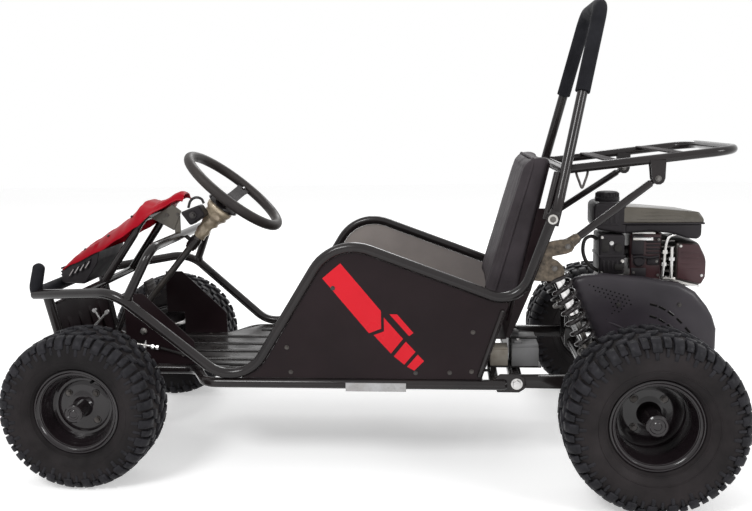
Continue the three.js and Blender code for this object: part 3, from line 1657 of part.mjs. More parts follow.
function muffler() {
  const length = mufflerRearX - mufflerFrontX;
  const height = mufflerTopZ - mufflerBottomZ;
  const shares = [[0, 0.1], [0.25, 0], [0.8, 0], [1, 0.2], [1, 0.62], [0.72, 1], [0, 1]];
  const outline = shares.map(([a, b]) => [mufflerFrontX + a * length, mufflerBottomZ + b * height]);
  const pipeY = (mufflerLeftY + mufflerRightY) / 2;
  const pipeZ = (mufflerBottomZ + mufflerTopZ) / 2;
  const pipe = rod(
    point(shroudRearX + gap, pipeY, pipeZ),
    point(mufflerFrontX + overrun, pipeY, pipeZ),
    exhaustRadius,
  );
  return join(slab(outline, [mufflerLeftY, mufflerRightY], mufflerRound), pipe);
}

function battery() {
  const low = trayZ + trayThickness + gap;
  return box(
    [batteryX, batteryX + batteryLength],
    [batteryY, batteryY + batteryWidth],
    [low, low + batteryHeight],
  );
}

// The brake cable runs from the pedal along the left of the footwell and over the floor
const brakeCableRoute = [
  [-604, -158, 268],
  [-560, -158, 262],
  [-520, -158, 256],
  [-470, -158, 246],
  [-430, -158, 234],
  [-398, -160, 223],
  [-366, -166, 216],
  [-330, -172, 213.9],
  [-250, -176, 213.9],
  [-150, -178, 213.9],
  [-60, -196, 213.9],
  [20, -204, 213.9],
  [100, -204, 213.9],
  [200, -204, 213.9],
  [262, -204, 215],
].map(([x, y, z]) => point(x, y, z));

function brakeCable() {
  const curve = new THREE.CatmullRomCurve3(brakeCableRoute);
  const shape = new THREE.Shape(ring(cableRadius, 6));
  return new THREE.ExtrudeGeometry(shape, { steps: 26, extrudePath: curve });
}

// The whole kart
addPiece("floor_frame", floorFrame(), "frame");
addPiece("front_beam", frontBeam(), "frame");
addPiece("front_bumper", tube(bumperLine, bumperRadius), "foam");
addPiece("steering_hoop", steeringHoop(), "frame");
addPiece("roll_bar", rollBar(), "frame");
addPiece("roll_bar_pad", rollBarPad(), "foam");
addPiece("floor_pan", floorPan(), "panel");
addPiece("seat_shell", seatShell(), "panel");
addPiece("seat_cushion", seatCushion(), "vinyl");
addPiece("seat_back", seatBack(), "vinyl");
addPiece("nose_cover", noseCover(), "red");
addPiece("nose_grille", noseGrille(), "plastic");
addPiece("nose_frame", noseFrame(), "frame");
addPiece("cargo_rack", cargoRack(), "frame");
addPiece("battery", battery(), "grey");
addPiece("brake_cable", brakeCable(), "rubber");
addPiece("swing_arm", swingArm(), "frame");
addPiece("crankcase", crankcase(), "casting");
addPiece("engine_shroud", engineShroud(), "red");
addPiece("fuel_tank", fuelTank(), "plastic");
addPiece("fuel_cap", fuelCap(), "plastic");
addPiece("air_filter_box", airFilterBox(), "plastic");
addPiece("muffler", muffler(), "steel");
addPiece("clutch_drum", clutchDrum(), "steel");
addPiece("rear_sprocket", rearSprocket(), "steel");
addPiece("drive_chain", driveChain(), "steel");
addPiece("drive_guard", driveGuard(), "plastic");
addPiece("brake_disc", brakeDisc(), "steel");
addPiece("brake_caliper", brakeCaliper(), "casting");
const axleEnd = rearWheelY + rearHubReach - hubCapThickness - gap;
addPiece("rear_axle", crossRod(rearAxleX, rearAxleZ, [-axleEnd, axleEnd], axleRadius), "steel");
addPiece("brake_pedal", pedal(-1), "steel");
addPiece("throttle_pedal", pedal(1), "steel");

columnGroup.updateMatrix();
addPiece("steering_shaft", join(steeringShaft(), ...pitmanPins()), "steel", columnGroup);
addPiece("steering_wheel", steeringWheel(), "rubber", columnGroup);

for (const [name, side] of sides) {
  addPiece(`side_tube_${name}`, sideTube(side), "frame");
  addPiece(`side_panel_${name}`, sidePanel(side), "panel");
  addPiece(`footwell_${name}`, footwell(side), "panel");
  addPiece(`rack_strut_${name}`, rackStrut(side), "frame");
  addPiece(`knuckle_${name}`, knuckle(side), "steel");
  addPiece(`tie_rod_${name}`, tieRod(side), "zinc");
  addWheel("front", side, name, wheelGroup(frontAxleX, frontWheelY, frontAxleZ, side));
  addWheel("rear", side, name, wheelGroup(rearAxleX, rearWheelY, rearAxleZ, side));
  const shock = shockGroup(side);
  addPiece(`shock_body_${name}`, shockBody(), "frame", shock);
  addPiece(`shock_rod_${name}`, shockRod(), "zinc", shock);
  addPiece(`shock_spring_${name}`, spring(), "frame", shock);
}

export default root;
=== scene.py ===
import bpy
import bmesh
import math
from mathutils import Matrix, Vector, noise
from mathutils.bvhtree import BVHTree


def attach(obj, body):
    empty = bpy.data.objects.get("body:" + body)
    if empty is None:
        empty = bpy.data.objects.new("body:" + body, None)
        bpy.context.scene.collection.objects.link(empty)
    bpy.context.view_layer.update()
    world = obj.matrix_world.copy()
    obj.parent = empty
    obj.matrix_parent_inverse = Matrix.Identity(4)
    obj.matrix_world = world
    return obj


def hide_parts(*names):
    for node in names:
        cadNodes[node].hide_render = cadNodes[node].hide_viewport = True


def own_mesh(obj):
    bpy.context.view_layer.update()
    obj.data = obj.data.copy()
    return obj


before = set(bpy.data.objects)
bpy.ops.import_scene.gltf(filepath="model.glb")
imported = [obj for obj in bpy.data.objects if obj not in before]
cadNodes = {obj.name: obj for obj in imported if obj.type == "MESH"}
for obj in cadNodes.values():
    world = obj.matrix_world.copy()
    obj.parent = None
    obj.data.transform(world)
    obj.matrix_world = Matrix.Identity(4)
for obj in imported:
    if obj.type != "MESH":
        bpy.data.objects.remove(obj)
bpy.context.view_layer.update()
sides = (("left", -1), ("right", 1))
up = Vector((0, 0, 1))


def setInputs(node, values):
    for key, value in values.items():
        node.inputs[key].default_value = value


def asObject(name, bm):
    mesh = bpy.data.meshes.new(name)
    bm.to_mesh(mesh)
    bm.free()
    thing = bpy.data.objects.new(name, mesh)
    bpy.context.collection.objects.link(thing)
    return thing


# camera where the photographer stood: metres and degrees
camera = {
    "place": (0.1805, -2.0841, 0.7589),
    "yaw": 4.9,
    "pitch": -8.8,
    "roll": 0.9,
    "lens": 42.66,
    "sensor": 36,
}


def addCamera():
    lens = bpy.data.cameras.new("camera")
    lens.lens = camera["lens"]
    lens.sensor_width = camera["sensor"]
    eye = bpy.data.objects.new("camera", lens)
    bpy.context.collection.objects.link(eye)
    turn = Matrix.Rotation(math.radians(camera["yaw"]), 4, "Z")
    turn @= Matrix.Rotation(math.radians(camera["pitch"]), 4, "X")
    turn @= Matrix.Rotation(math.radians(camera["roll"]), 4, "Y")
    # a Blender camera looks down its own -Z
    turn @= Matrix.Rotation(math.radians(90), 4, "X")
    eye.matrix_world = Matrix.Translation(camera["place"]) @ turn
    bpy.context.scene.camera = eye


# studio: a pale floor, a soft sky and three large lamps
studio = {
    "floorSize": 16,
    "floorColor": (0.86, 0.86, 0.86, 1),
    "floorGlow": 0.42,
    "skyLevel": 0.62,
    "lamps": [
        {"name": "key", "place": (-1.6, -3.2, 3.4), "aim": (0, 0, 0.3), "size": 1.3, "power": 88},
        {"name": "fill", "place": (3.2, -2.4, 2.0), "aim": (0.2, 0, 0.3), "size": 1.2, "power": 44},
        {"name": "back", "place": (0.2, 3.4, 3.2), "aim": (0, 0, 0.4), "size": 1.6, "power": 66},
    ],
}


# one level for the rays that light the kart, another for those that show the backdrop
def shownRays(tree, hidden, shown):
    rays = tree.nodes.new("ShaderNodeLightPath")
    before = rays.outputs["Is Camera Ray"]
    for kind in ("Is Transmission Ray", "Is Glossy Ray"):
        either = tree.nodes.new("ShaderNodeMath")
        either.operation = "MAXIMUM"
        tree.links.new(before, either.inputs[0])
        tree.links.new(rays.outputs[kind], either.inputs[1])
        before = either.outputs[0]
    level = tree.nodes.new("ShaderNodeMapRange")
    setInputs(level, {"To Min": hidden, "To Max": shown})
    tree.links.new(before, level.inputs["Value"])
    return level.outputs["Result"]


def addStudio():
    scene = bpy.context.scene
    scene.view_settings.view_transform = "Standard"
    world = bpy.data.worlds.new("sky")
    scene.world = world
    world.use_nodes = True
    tree = world.node_tree
    background = tree.nodes["Background"]
    setInputs(background, {"Color": (1, 1, 1, 1)})
    tree.links.new(shownRays(tree, studio["skyLevel"], 1.0), background.inputs["Strength"])
    for spec in studio["lamps"]:
        light = bpy.data.lights.new(spec["name"], "AREA")
        light.energy = spec["power"]
        light.size = spec["size"]
        lamp = bpy.data.objects.new(spec["name"], light)
        bpy.context.collection.objects.link(lamp)
        lamp.location = spec["place"]
        aim = Vector(spec["aim"]) - Vector(spec["place"])
        lamp.rotation_euler = aim.to_track_quat("-Z", "Y").to_euler()
    bm = bmesh.new()
    bmesh.ops.create_grid(bm, x_segments=1, y_segments=1, size=studio["floorSize"] / 2)
    floor = asObject("floor", bm)
    material = bpy.data.materials.new("paleFloor")
    material.use_nodes = True
    tree = material.node_tree
    shader = tree.nodes["Principled BSDF"]
    setInputs(shader, {
        "Base Color": studio["floorColor"], "Roughness": 0.9, "Specular IOR Level": 0.1,
        "Emission Color": (1, 1, 1, 1),
    })
    tree.links.new(shownRays(tree, 0.0, studio["floorGlow"]), shader.inputs["Emission Strength"])
    floor.data.materials.append(material)


addCamera()
addStudio()
print("camera and studio ready")


# finishes: slot, base and patch colours, patch scale, roughness low and high, bumps as (scale, strength, detail),
# and what isn't usual, where coat holds its weight and roughness
finishSpecs = {
    "glossBlack": ("black_frame", (0.009, 0.0075, 0.008), (0.019, 0.015, 0.015), 9, (0.14, 0.3),
        [(180, 0.012, 2), (14, 0.01, 3)], {"specular": 0.22, "coat": (0.22, 0.08)}),
    "satinSheet": ("black_sheet", (0.0084, 0.0042, 0.0052), (0.016, 0.009, 0.0106), 5, (0.3, 0.48),
        [(240, 0.02, 3), (6, 0.015, 2)], {"specular": 0.12, "coat": (0.06, 0.3)}),
    # the black side panels' inner face painted pale grey: painted sheen, a lit copy of the black sheet
    "paintedSheenInside": ("black_sheet", (0.23, 0.205, 0.197), (0.33, 0.292, 0.272), 6, (0.35, 0.55),
        [(240, 0.02, 3), (7, 0.02, 2)], {"specular": 0.3, "coat": (0.1, 0.4)}),
    "floorSheet": ("black_sheet", (0.011, 0.0095, 0.0095), (0.026, 0.022, 0.021), 7, (0.18, 0.42),
        [(120, 0.02, 3), (9, 0.04, 2)], {"specular": 0.2, "patchShare": 0.55, "coat": (0.22, 0.15)}),
    "vinyl": ("black_vinyl", (0.026, 0.022, 0.024), (0.052, 0.044, 0.049), 12, (0.52, 0.68),
        [(420, 0.16, 3), (40, 0.03, 2)], {"specular": 0.1, "patchShare": 0.4, "grain": 620}),
    "foamSleeve": ("foam", (0.009, 0.009, 0.011), (0.02, 0.02, 0.024), 16, (0.62, 0.85),
        [(700, 0.22, 3), (30, 0.04, 2)], {"specular": 0.1}),
    "wheelGrip": ("grip_rubber", (0.018, 0.015, 0.015), (0.04, 0.034, 0.031), 14, (0.42, 0.62),
        [(500, 0.12, 3), (26, 0.04, 2)], {"specular": 0.25}),
    "mattPlastic": ("black_plastic", (0.012, 0.01, 0.012), (0.024, 0.021, 0.023), 11, (0.36, 0.52),
        [(520, 0.07, 3), (18, 0.03, 2)], {"specular": 0.2}),
    "guardPlastic": ("black_plastic", (0.017, 0.014, 0.018), (0.036, 0.03, 0.037), 7, (0.3, 0.46),
        [(420, 0.04, 3), (9, 0.03, 2)], {"specular": 0.25, "coat": (0.15, 0.3)}),
    "tankPlastic": ("black_plastic", (0.06, 0.052, 0.04), (0.115, 0.102, 0.082), 9, (0.24, 0.4),
        [(300, 0.02, 3), (11, 0.02, 2)], {"specular": 0.4, "coat": (0.25, 0.2)}),
    "noseRed": ("red_plastic", (0.4, 0.006, 0.017), (0.27, 0.004, 0.012), 5, (0.34, 0.5),
        [(220, 0.012, 2), (8, 0.012, 2)], {"specular": 0.05, "coat": (0.02, 0.3)}),
    "stripeRed": ("red_plastic", (0.68, 0.015, 0.027), (0.6, 0.012, 0.022), 6, (0.24, 0.36),
        [(260, 0.012, 2)], {"specular": 0.12, "coat": (0.05, 0.15)}),
    "engineRed": ("red_engine", (0.03, 0.0125, 0.0145), (0.058, 0.026, 0.029), 12, (0.3, 0.5),
        [(280, 0.03, 3), (16, 0.03, 2)], {"specular": 0.25, "coat": (0.15, 0.2)}),
    "tyreRubber": ("tyre_rubber", (0.009, 0.0078, 0.0082), (0.031, 0.026, 0.027), 9, (0.55, 0.8),
        [(330, 0.12, 4), (38, 0.08, 3)], {"specular": 0.14, "patchShare": 0.55}),
    "treadRubber": ("tyre_rubber", (0.008, 0.0078, 0.0095), (0.022, 0.021, 0.025), 60, (0.42, 0.7),
        [(360, 0.1, 4), (45, 0.06, 3)], {"specular": 0.16}),
    "shockChrome": ("steel", (0.72, 0.72, 0.73), (0.6, 0.58, 0.56), 24, (0.12, 0.26),
        [(240, 0.01, 2)], {"metallic": 1}),
    "glossRim": ("black_rim", (0.0085, 0.0062, 0.0072), (0.014, 0.0105, 0.012), 8, (0.1, 0.2),
        [(70, 0.01, 2)], {"specular": 0.3, "coat": (0.3, 0.05)}),
    "brightZinc": ("zinc", (0.66, 0.66, 0.67), (0.5, 0.48, 0.45), 26, (0.22, 0.42),
        [(240, 0.03, 3)], {"metallic": 1, "patchShare": 0.45}),
    "dullSteel": ("steel", (0.2, 0.195, 0.19), (0.1, 0.09, 0.082), 22, (0.32, 0.58),
        [(260, 0.05, 4), (30, 0.05, 2)], {"metallic": 1}),
    "darkSteel": ("steel", (0.045, 0.042, 0.042), (0.085, 0.075, 0.068), 20, (0.3, 0.5),
        [(220, 0.04, 4), (28, 0.04, 2)], {"metallic": 0.7, "coat": (0.1, 0.2)}),
    "bronzePaint": ("black_frame", (0.03, 0.023, 0.016), (0.15, 0.118, 0.085), 95, (0.3, 0.5),
        [(200, 0.03, 3)], {"specular": 0.3, "metallic": 0.3, "coat": (0.2, 0.2)}),
    "castAlloy": ("engine_casting", (0.24, 0.235, 0.23), (0.14, 0.13, 0.12), 16, (0.42, 0.66),
        [(360, 0.16, 4), (40, 0.06, 2)], {"metallic": 0.9}),
    "boxGrey": ("grey_plastic", (0.17, 0.17, 0.175), (0.11, 0.108, 0.105), 13, (0.42, 0.6), [(380, 0.05, 3)], {}),
    "slatGrey": ("grey_plastic", (0.42, 0.4, 0.4), (0.26, 0.22, 0.22), 22, (0.4, 0.55), [(300, 0.03, 3)], {}),
    "stepZinc": ("zinc", (0.42, 0.42, 0.43), (0.3, 0.29, 0.28), 30, (0.35, 0.55), [(260, 0.05, 3)], {"metallic": 1}),
    "columnWrap": ("steel", (0.6, 0.5, 0.36), (0.19, 0.145, 0.105), 30, (0.2, 0.5),
        [(150, 0.12, 4), (40, 0.12, 3)], {"metallic": 0.25, "coat": (0.3, 0.15)}),
    "rackSatin": ("black_frame", (0.022, 0.019, 0.02), (0.048, 0.04, 0.041), 18, (0.5, 0.68),
        [(240, 0.03, 3)], {"specular": 0.06}),
    # pale beige: painted light, a patch of lit ground seen past the side panel's rear edge
    "paintedLitPatch": ("grey_plastic", (0.4, 0.37, 0.32), (0.26, 0.23, 0.19), 30, (0.45, 0.65),
        [(300, 0.05, 3)], {"patchShare": 0.45}),
    "cableSleeve": ("cable_rubber", (0.012, 0.011, 0.011), (0.026, 0.024, 0.023), 60, (0.4, 0.6),
        [(600, 0.08, 3)], {"specular": 0.2}),
    # near-black marks of painted shade in holes, slots and recesses; the valve takes it as its own black rubber
    "paintedShadeAndValveBlack": ("black_plastic", (0.004, 0.004, 0.004), (0.007, 0.007, 0.007), 40, (0.7, 0.9),
        [(300, 0.05, 2)], {"specular": 0.05}),
}


# one node tree for every finish: patches of colour, uneven gloss, and fine bumps
def makeFinish(name, slot, base, patch, patchScale, roughness, bumps, extras):
    material = bpy.data.materials.new(name)
    material.use_nodes = True
    tree = material.node_tree
    link = tree.links.new
    shader = tree.nodes["Principled BSDF"]

    def add(kind, **values):
        node = tree.nodes.new("ShaderNode" + kind)
        setInputs(node, values)
        return node

    coat, coatRoughness = extras.get("coat", (0, 0.3))
    setInputs(shader, {
        "Metallic": extras.get("metallic", 0), "Specular IOR Level": extras.get("specular", 0.5),
        "Coat Weight": coat, "Coat Roughness": coatRoughness,
    })
    place = add("TexCoord")

    def cloud(scale, detail):
        node = add("TexNoise", Scale=scale, Detail=detail, Roughness=0.55)
        link(place.outputs["Object"], node.inputs["Vector"])
        return node.outputs["Fac"]

    patches = add("ValToRGB")
    share = extras.get("patchShare", 0.5)
    for element, position, color in zip(patches.color_ramp.elements, (share - 0.18, share + 0.22), (base, patch)):
        element.position = position
        element.color = (*color, 1)
    link(cloud(patchScale, 6), patches.inputs["Fac"])
    link(patches.outputs["Color"], shader.inputs["Base Color"])
    gloss = add("MapRange")
    setInputs(gloss, {"From Min": 0.3, "From Max": 0.7, "To Min": roughness[0], "To Max": roughness[1]})
    link(cloud(patchScale * 2.3, 5), gloss.inputs["Value"])
    link(gloss.outputs["Result"], shader.inputs["Roughness"])
    heights = [(cloud(scale, detail), strength, 0.002) for scale, strength, detail in bumps]
    if "grain" in extras:
        cells = add("TexVoronoi", Scale=extras["grain"])
        cells.feature = "DISTANCE_TO_EDGE"
        link(place.outputs["Object"], cells.inputs["Vector"])
        heights.append((cells.outputs["Distance"], 0.25, 0.0006))
    normal = None
    for height, strength, distance in heights:
        bump = add("Bump", Strength=strength, Distance=distance)
        link(height, bump.inputs["Height"])
        if normal:
            link(normal, bump.inputs["Normal"])
        normal = bump.outputs["Normal"]
    link(normal, shader.inputs["Normal"])
    return material


finishes = {name: makeFinish(name, *spec) for name, spec in finishSpecs.items()}
print("finishes ready:", len(finishes))


# the mesh that is under way: every add call grows it, until a piece takes it and a new one starts
bm = bmesh.new()


def takeMesh(name):
    global bm
    bmesh.ops.recalc_face_normals(bm, faces=bm.faces)
    thing = asObject(name, bm)
    bm = bmesh.new()
    return thing


# a finished piece rides on its body, and replaces the CAD node of its name if there is one
def addPiece(name, finish, body="frame", sharp=35, bevel=0.0):
    piece = takeMesh(name)
    mesh = piece.data
    mesh.materials.append(finishes[finish])
    mesh.polygons.foreach_set("use_smooth", [True] * len(mesh.polygons))
    mesh.set_sharp_from_angle(angle=math.radians(sharp))
    if bevel:
        edge = piece.modifiers.new("edges", "BEVEL")
        edge.width = bevel
        edge.segments = 2
        edge.limit_method = "ANGLE"
        edge.angle_limit = math.radians(40)
        edge.harden_normals = True
    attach(piece, body)
    if name in cadNodes:
        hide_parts(name)
    return piece


def moveMesh(matrix):
    bmesh.ops.transform(bm, matrix=matrix, verts=bm.verts)


def turnTo(way):
    return up.rotation_difference(Vector(way)).to_matrix().to_4x4()


def edgesAmong(verts):
    corners = set(verts)
    return list({edge for vert in verts for edge in vert.link_edges if edge.other_vert(vert) in corners})


# a face through points, and its copy moved by a vector, as one closed solid
def growFace(points, move):
    face = bm.faces.new([bm.verts.new(point) for point in points])
    grown = bmesh.ops.extrude_face_region(bm, geom=[face])["geom"]
    far = [part for part in grown if isinstance(part, bmesh.types.BMVert)]
    bmesh.ops.translate(bm, vec=move, verts=far)
    return list(face.verts) + far


# stations of a centre line with straight runs and round bends: (place, way)
def bentLine(corners, bends, arcStep=7.0):
    corners = [Vector(corner) for corner in corners]
    stations = [(corners[0], (corners[1] - corners[0]).normalized())]
    for i in range(1, len(corners) - 1):
        radius = bends[i - 1] if isinstance(bends, (list, tuple)) else bends
        inward = (corners[i] - corners[i - 1]).normalized()
        outward = (corners[i + 1] - corners[i]).normalized()
        turn = inward.angle(outward)
        side = (outward - inward * math.cos(turn)).normalized()
        centre = corners[i] - inward * radius * math.tan(turn / 2) + side * radius
        steps = max(3, math.ceil(math.degrees(turn) / arcStep))
        for k in range(steps + 1):
            angle = turn * k / steps
            place = centre - side * radius * math.cos(angle) + inward * radius * math.sin(angle)
            stations.append((place, inward * math.cos(angle) + side * math.sin(angle)))
    stations.append((corners[-1], (corners[-1] - corners[-2]).normalized()))
    return stations


# stations of a smooth curve through points
def softLine(points, steps=8):
    points = [Vector(p) for p in points]
    ends = [points[0] * 2 - points[1], *points, points[-1] * 2 - points[-2]]
    places = []
    for a, b, c, d in zip(ends, ends[1:], ends[2:], ends[3:]):
        for k in range(steps):
            t = k / steps
            place = b * 2 + (c - a) * t + (a * 2 - b * 5 + c * 4 - d) * t * t + (b * 3 - a - c * 3 + d) * t ** 3
            places.append(place / 2)
    places.append(points[-1])
    ways = [(places[min(i + 1, len(places) - 1)] - places[max(i - 1, 0)]).normalized() for i in range(len(places))]
    return list(zip(places, ways))


# where a line of stations passes an x value
def lineAt(stations, x, start=0):
    for (a, wayA), (b, wayB) in zip(stations[start:], stations[start + 1:]):
        if (a.x - x) * (b.x - x) <= 0 and a.x != b.x:
            share = (x - a.x) / (b.x - a.x)
            return a.lerp(b, share), wayA.lerp(wayB, share).normalized()
    return stations[-1]


# a round bar along stations, of one radius or of one for each station
def sweep(stations, radius, count=20):
    radii = radius if isinstance(radius, list) else [radius] * len(stations)
    place, way = stations[0]
    verts = bmesh.ops.create_circle(
        bm, cap_ends=True, segments=count, radius=radii[0], matrix=Matrix.Translation(place) @ turnTo(way)
    )["verts"]
    edges = list({edge for vert in verts for edge in vert.link_edges})
    for (a, wayA), (b, wayB), thin, thick in zip(stations, stations[1:], radii, radii[1:]):
        if (b - a).length < 1e-6:
            continue
        grown = bmesh.ops.extrude_edge_only(bm, edges=edges)["geom"]
        verts = [part for part in grown if isinstance(part, bmesh.types.BMVert)]
        edges = edgesAmong(verts)
        spin = wayA.rotation_difference(wayB).to_matrix().to_4x4()
        grow = Matrix.Scale(thick / thin, 4)
        bmesh.ops.transform(
            bm, matrix=Matrix.Translation(b) @ spin @ grow @ Matrix.Translation(-a), verts=verts
        )
    bmesh.ops.contextual_create(bm, geom=edges)


# stations and radii of a bar whose two ends are domed
def roundedEnds(stations, radius, steps=5):
    angles = [math.radians(90 * k / steps) for k in range(steps, 0, -1)]
    (head, headWay), (tail, tailWay) = stations[0], stations[-1]
    heads = [(head + headWay * radius * (1 - math.sin(a)), headWay) for a in angles]
    tails = [(tail - tailWay * radius * (1 - math.sin(a)), tailWay) for a in reversed(angles)]
    thin = [radius * max(0.1, math.cos(a)) for a in angles]
    inner = stations[1:-1]
    return heads + inner + tails, thin + [radius] * len(inner) + thin[::-1]


def addRod(start, end, radius, count=20, endRadius=None):
    start, end = Vector(start), Vector(end)
    way = end - start
    return bmesh.ops.create_cone(
        bm, cap_ends=True, segments=count, radius1=radius,
        radius2=radius if endRadius is None else endRadius, depth=way.length,
        matrix=Matrix.Translation((start + end) / 2) @ turnTo(way),
    )["verts"]


# a rod across the kart, from one y value to another
def addAcross(x, z, start, end, radius, count, endRadius=None):
    addRod((x, start, z), (x, end, z), radius, count, endRadius)


def roundEdges(verts, width, segments=2):
    return bmesh.ops.bevel(
        bm, geom=edgesAmong(verts), offset=width, offset_type="OFFSET", affect="EDGES", segments=segments,
        profile=0.5, material=-1, clamp_overlap=True,
    )["verts"]


def addBox(low, high, rounding=0.0, segments=2):
    low, high = Vector(low), Vector(high)
    size = high - low
    verts = bmesh.ops.create_cube(
        bm, size=1.0, matrix=Matrix.Translation((low + high) / 2) @ Matrix.Diagonal((*size, 1))
    )["verts"]
    if rounding:
        roundEdges(verts, rounding, segments)
    return verts


# an outline of (x, z) points, grown across the kart
def addPlate(outline, lowY, highY, rounding=0.0, segments=2):
    verts = growFace([(x, lowY, z) for x, z in outline], (0, highY - lowY, 0))
    if rounding:
        roundEdges(verts, rounding, segments)
    return verts


# a profile of (radius, along) points turned about an axis through a place
def addTurned(profile, steps, place=(0, 0, 0), way=(0, 0, 1)):
    before = set(bm.verts)
    verts = [bm.verts.new((r, 0, out)) for r, out in profile]
    edges = [bm.edges.new(pair) for pair in zip(verts, verts[1:])]
    bmesh.ops.spin(
        bm, geom=verts + edges, cent=(0, 0, 0), axis=(0, 0, 1), angle=math.tau, steps=steps, use_merge=True
    )
    made = [vert for vert in bm.verts if vert not in before]
    bmesh.ops.transform(bm, matrix=Matrix.Translation(place) @ turnTo(way), verts=made)
    bmesh.ops.remove_doubles(bm, verts=made, dist=1e-6)


# a washer, a six-sided head and its round end, on a face
def addBolt(place, way, size=0.006, washer=True):
    place, way = Vector(place), Vector(way).normalized()
    if washer:
        addRod(place, place + way * size * 0.25, size * 1.15, 24)
        place = place + way * size * 0.25
    head = addRod(place, place + way * size * 0.62, size * 0.88, 6)
    roundEdges(head, size * 0.06, 1)
    addRod(place, place + way * size * 0.8, size * 0.42, 16)


# the profile of a bush, from its bore, its outer radius and half its length
def bush(inner, outer, half):
    return [(inner, -half), (outer, 0.0005 - half), (outer, half - 0.0005), (inner, half), (inner, -half)]


def addRing(place, radius, wire, steps, count):
    angles = [math.tau * k / count for k in range(count)]
    profile = [(radius + wire * math.cos(a), wire * math.sin(a)) for a in angles]
    addTurned([*profile, profile[0]], steps, place)


def onCircle(radius, degrees, height):
    angle = math.radians(degrees)
    return Vector((radius * math.cos(angle), radius * math.sin(angle), height))


# a line of places on the left, moved to a side of the kart
def onSide(points, side):
    return [(x, side * y, z) for x, y, z in points]


def spanY(side, near, far):
    return (near, far) if side > 0 else (-far, -near)


# side tubes: the wavy tube along each side, its clamp bolt, and the gusset behind it
sideTube = {
    "corners": [
        (-0.7675, 0.16, 0.372), (-0.534, 0.278, 0.399), (-0.275, 0.252, 0.1769),
        (-0.066, 0.252, 0.514), (0.32, 0.252, 0.368), (0.392, 0.252, 0.566),
    ],
    "bends": [0.085, 0.08, 0.1, 0.06],
    "radius": 0.011,
    "clampBolt": (0.3858, 0.263, 0.549),
    "washer": [(0.0062, 0), (0.01, 0), (0.0104, 0.0006), (0.01, 0.0016), (0.0062, 0.0018), (0.0062, 0)],
    "gusset": [
        (0.346, 0.421), (0.362, 0.419), (0.386, 0.4195), (0.4, 0.422), (0.41, 0.43), (0.413, 0.44),
        (0.409, 0.451), (0.399, 0.461), (0.388, 0.4665), (0.386, 0.4705), (0.398, 0.473), (0.415, 0.476),
        (0.427, 0.481), (0.432, 0.49), (0.429, 0.5), (0.42, 0.506), (0.404, 0.506), (0.388, 0.503),
        (0.378, 0.5), (0.372, 0.486), (0.36, 0.452),
    ],
    "gussetY": (0.2445, 0.2512),
    # for the shock absorber and for the rack's strut
    "pins": [(0.392, 0.2512, 0.446), (0.418, 0.2512, 0.492)],
}
sideLines = {side: bentLine(onSide(sideTube["corners"], side), sideTube["bends"]) for name, side in sides}
for name, side in sides:
    sweep(sideLines[side], sideTube["radius"], 24)
    x, y, z = sideTube["clampBolt"]
    addAcross(x, z, side * 0.236, side * y, 0.0135, 20)
    addPiece("side_tube_" + name, "glossBlack")
    addTurned(sideTube["washer"], 32, (x, side * (y + 0.0002), z), (0, side, 0))
    addPiece("side_washer_" + name, "brightZinc")
    addAcross(x, z, side * y, side * (y + 0.0045), 0.0066, 6)
    addAcross(x, z, side * y, side * (y + 0.0056), 0.0032, 16)
    for place in onSide(sideTube["pins"], side):
        addBolt(place, (0, side, 0), 0.005)
    addPiece("side_bolts_" + name, "dullSteel")
    addPlate(sideTube["gusset"], *spanY(side, *sideTube["gussetY"]))
    for x, y, z in sideTube["pins"]:
        addAcross(x, z, side * 0.2232, side * 0.25, 0.005, 16)
    addPiece("side_gusset_" + name, "bronzePaint", bevel=0.0012)

# lower rails, cross tubes, swing-arm brackets, battery tray and the foot of the column
railY, frontRailY, railZ = 0.252, 0.15, 0.197
floorFrame = {
    "corners": [
        (0.292, railY, railZ), (-0.352, railY, railZ), (-0.4, frontRailY, railZ), (-0.702, frontRailY, railZ),
        (-0.738, 0.16, 0.372),
    ],
    "bend": 0.042,
    "radius": 0.011,
    "crosses": [(-0.626, frontRailY), (-0.396, frontRailY), (0.03, railY), (0.236, railY), (0.27, railY)],
    # below the battery: the tray's plate and the strip under it
    "tray": [
        ((0.259, -0.19, 0.217), (0.374, -0.072, 0.22), 0.001),
        ((0.2645, -0.19, 0.197), (0.2755, -0.072, 0.2185), 0),
    ],
    "columnFoot": [(-0.632, 0.197), (-0.62, 0.197), (-0.5935, 0.2735), (-0.6055, 0.2735)],
    "bracket": [
        (0.276, 0.1795), (0.322, 0.1795), (0.3345, 0.188), (0.3345, 0.21), (0.322, 0.2185), (0.282, 0.2185),
        (0.268, 0.206),
    ],
    "pivot": (0.317, 0.199),
    "stepPlate": (-0.045, 0.084, 0.1835, 0.2025),
}
for name, side in sides:
    sweep(bentLine(onSide(floorFrame["corners"], side), floorFrame["bend"]), floorFrame["radius"], 24)
    addRod((0.2905, side * railY, railZ), (0.296, side * railY, railZ), 0.0108, 24, 0.0085)
for x, y in floorFrame["crosses"]:
    addAcross(x, railZ, -y, y, floorFrame["radius"], 24)
for low, high, rounding in floorFrame["tray"]:
    addBox(low, high, rounding)
addPlate(floorFrame["columnFoot"], -0.007, 0.007)
addPiece("floor_frame", "glossBlack")
for name, side in sides:
    addPlate(floorFrame["bracket"], *spanY(side, 0.2425, 0.2495))
addPiece("pivot_brackets", "glossBlack", bevel=0.0015)
x, z = floorFrame["pivot"]
addAcross(x, z, -0.25, 0.25, 0.008, 24)
for name, side in sides:
    addBolt((x, side * 0.2497, z), (0, side, 0), 0.0105)
addPiece("pivot_bolt", "brightZinc")
low, high, bottom, top = floorFrame["stepPlate"]
for name, side in sides:
    near, far = spanY(side, 0.2625, 0.2655)
    addBox((low, near, bottom), (high, far, top), 0.0008)
    for k in range(9):
        x = low + 0.01 + k * (high - low - 0.02) / 8
        addAcross(x, 0.193, side * 0.265, side * 0.2662, 0.0028, 12, 0.0018)
addPiece("step_plates", "stepZinc")

